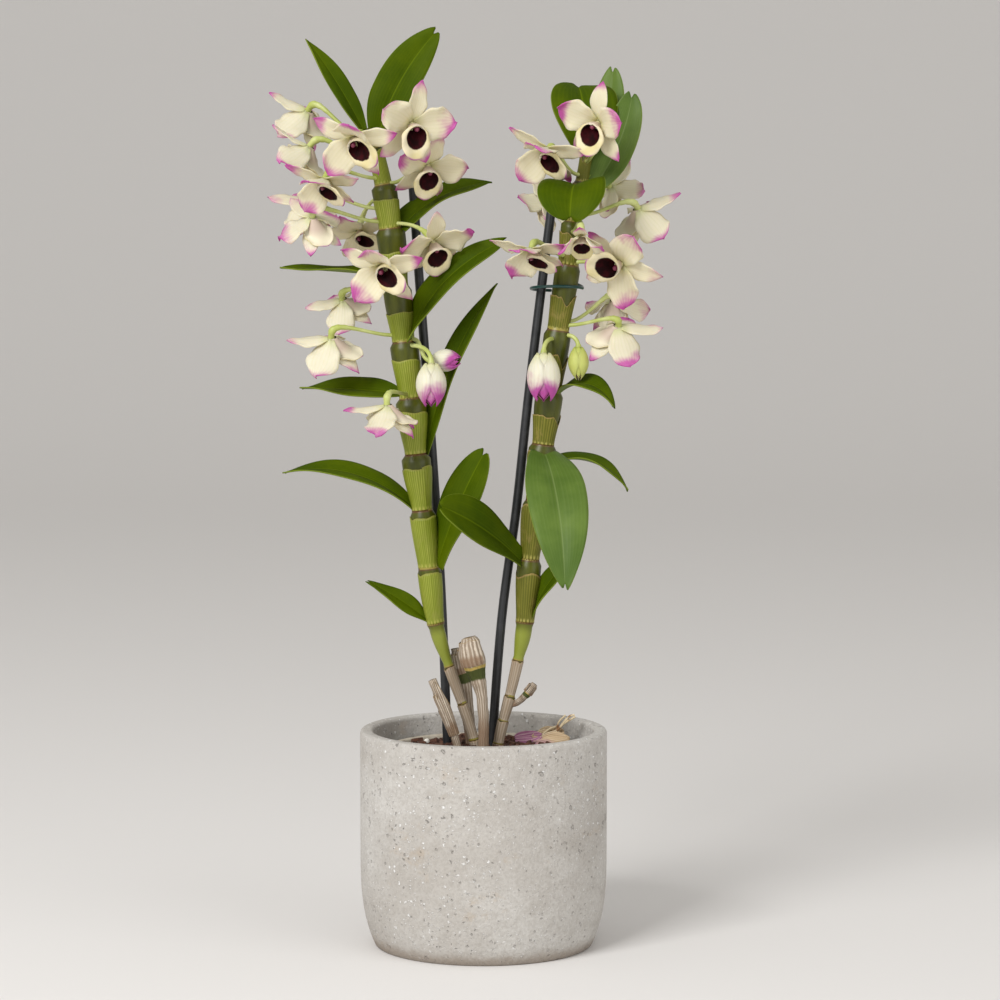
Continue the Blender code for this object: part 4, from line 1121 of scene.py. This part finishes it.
bud_skin = petal_material("bud_skin", (0.70, 0.65, 0.50), (0.56, 0.55, 0.26), (0.40, 0.06, 0.28), 0.48)
bud_inner = petal_material("bud_inner", (0.66, 0.60, 0.47), (0.5, 0.46, 0.32), (0.36, 0.05, 0.24), 0.45)
green_skin = petal_material("bud_green_skin", (0.48, 0.50, 0.13), (0.36, 0.42, 0.08),
                            (0.44, 0.28, 0.20), 0.97)
BUDS = (
    ("bud_left_01", 252, (-31, -10, 239), (0.95, -0.25, 0.05), 18, 13, 0.2, bud_skin, "petal"),
    ("bud_left_02", 248, (-31, -23, 238), (0.0, -0.1, -1.0), 26, 17.5, 0.8, bud_skin, "petal"),
    ("bud_right_01", 252, (36, -20, 244), (0.0, -0.1, -1.0), 29, 19, 1.6, bud_skin, "petal"),
    ("bud_right_02", 254, (57, -9, 247), (0.0, -0.2, -1.0), 20, 12, -0.8, green_skin, "bud_green"),
)
for name, height, neck, ahead, length, girth, open_tip, skin, slot in BUDS:
    cane = "cane_left" if "left" in name else "cane_right"
    neck = above_bark(*neck)
    ahead = Vector(ahead).normalized()
    base = Matrix.Translation(neck) @ ahead.to_track_quat("Z", "Y").to_matrix().to_4x4()
    bm = bmesh.new()
    for turn in (30.0, 150.0, 270.0):
        add_bud_leaf(bm, base, math.radians(turn), length, girth, 2.5, open_tip, 0)
    for turn in (90.0, 210.0):
        add_bud_leaf(bm, base, math.radians(turn), length * 0.96, girth - 1.4, 2.9, open_tip * 0.6, 0)
    add_piece(name + "_sepals", bm, [skin, bud_inner], slot, name, 0.5, True)
    bm = bmesh.new()
    path = smooth_path([neck + ahead * 4.0, *stalk_path(cane, height, neck, -ahead, 6)], 3)
    radii = [2.2, 2.2, 2.2, 2.0, 1.8, 1.6] + [1.3] * (len(path) - 6)
    tube(bm, path, radii, 14)
    add_piece(name + "_stalk", bm, [stalk_green], slot, name)

# ---------------------------------------------------------------- Wilted flower
# A spent flower that dropped on the bark: tan and faded purple papery petals with curled
# edges, and its thin dry stalk forking up towards the rim.
def dried_material(name, roughness, rib_count, low, high, dark, light):
    """Withered petal skin with fine ribs."""
    material, tree, shader = new_material(name, roughness)
    fibres = ribs(tree, rib_count)
    colour = blend(between(fibres, low, high), dark, light)
    if name == "dried_petal":
        colour = blend(between(cloud(tree, 70.0, 2.0), 0.62, 0.70, 0.0, 0.5), colour, (0.34, 0.13, 0.24))
    coat(shader, colour, fibres, 0.4, 0.8)
    return material


dried = dried_material("dried_petal", 0.8, 9.0, 0.2, 0.55, (0.42, 0.29, 0.16), (0.66, 0.54, 0.37))
faded_purple = dried_material("faded_purple", 0.75, 7.0, 0.1, 0.6, (0.30, 0.10, 0.20), (0.52, 0.32, 0.38))
dry_thread, tree, shader = new_material("dry_thread", 0.7)
colour = blend(between(cloud(tree, 130.0), 0.52, 0.60), (0.62, 0.51, 0.33), (0.24, 0.12, 0.05))
coat(shader, colour)

bm = bmesh.new()
# Place of each petal's root, its heading, length, width and tilt, and 1 where it is faded purple.
FALLEN_PETALS = (
    (19, 18, 5.0, 8, 17, 12, 0.10, 1), (22, 24, 4.5, -12, 17, 9, 0.15, 1), (30, 20, 5.0, 8, 20, 11, 0.22, 0),
    (31, 25, 4.5, 24, 19, 9, 0.30, 0), (32, 17, 4.5, -8, 21, 10, 0.12, 0),
)
for x, y, height, heading, length, width, tilt, slot in FALLEN_PETALS:
    petal_frame = Matrix.Translation(above_bark(x, y, height))
    petal_frame = petal_frame @ Matrix.Rotation(math.radians(heading), 4, "Z")
    petal_frame = petal_frame @ Matrix.Rotation(-tilt, 4, "Y") @ Matrix.Rotation(0.85, 4, "X")

    def place(u, v):
        wide = width * math.sin((v * 0.90 + 0.07) * math.pi) ** 0.6 * (u - 0.5)
        roll = 1.3 * math.sin(v * 6.0 + heading) * (0.4 + abs(u - 0.5)) + 0.5 * math.sin(u * 13.0 + v * 4.0)
        return petal_frame @ Vector((v * length, wide, roll))

    patch(bm, 16, 20, place, slot)
THREADS = (
    (0.9, (36, 20, 5), (42, 20, 8), (47, 19, 13), (51, 18, 18)),
    (0.6, (48, 19, 14), (52, 17.5, 17), (56, 17, 19.5)),
    (0.6, (45, 20, 11), (46, 18, 16), (50, 17, 20.5)),
    (0.7, (51, 18, 18), (53, 17.6, 20), (55.5, 17.5, 20.5)),
    (0.6, (34, 21, 6), (40, 22, 11), (45, 22, 13)),
)
for girth, *route in THREADS:
    path = smooth_path([above_bark(*point) for point in route], 5)
    path, radii = capped(path, [girth] * len(path))
    tube(bm, path, radii, 10, 2)
add_piece("wilted_flower_petals", bm, [dried, faded_purple, dry_thread], "wilted", "wilted_flower", 0.2)
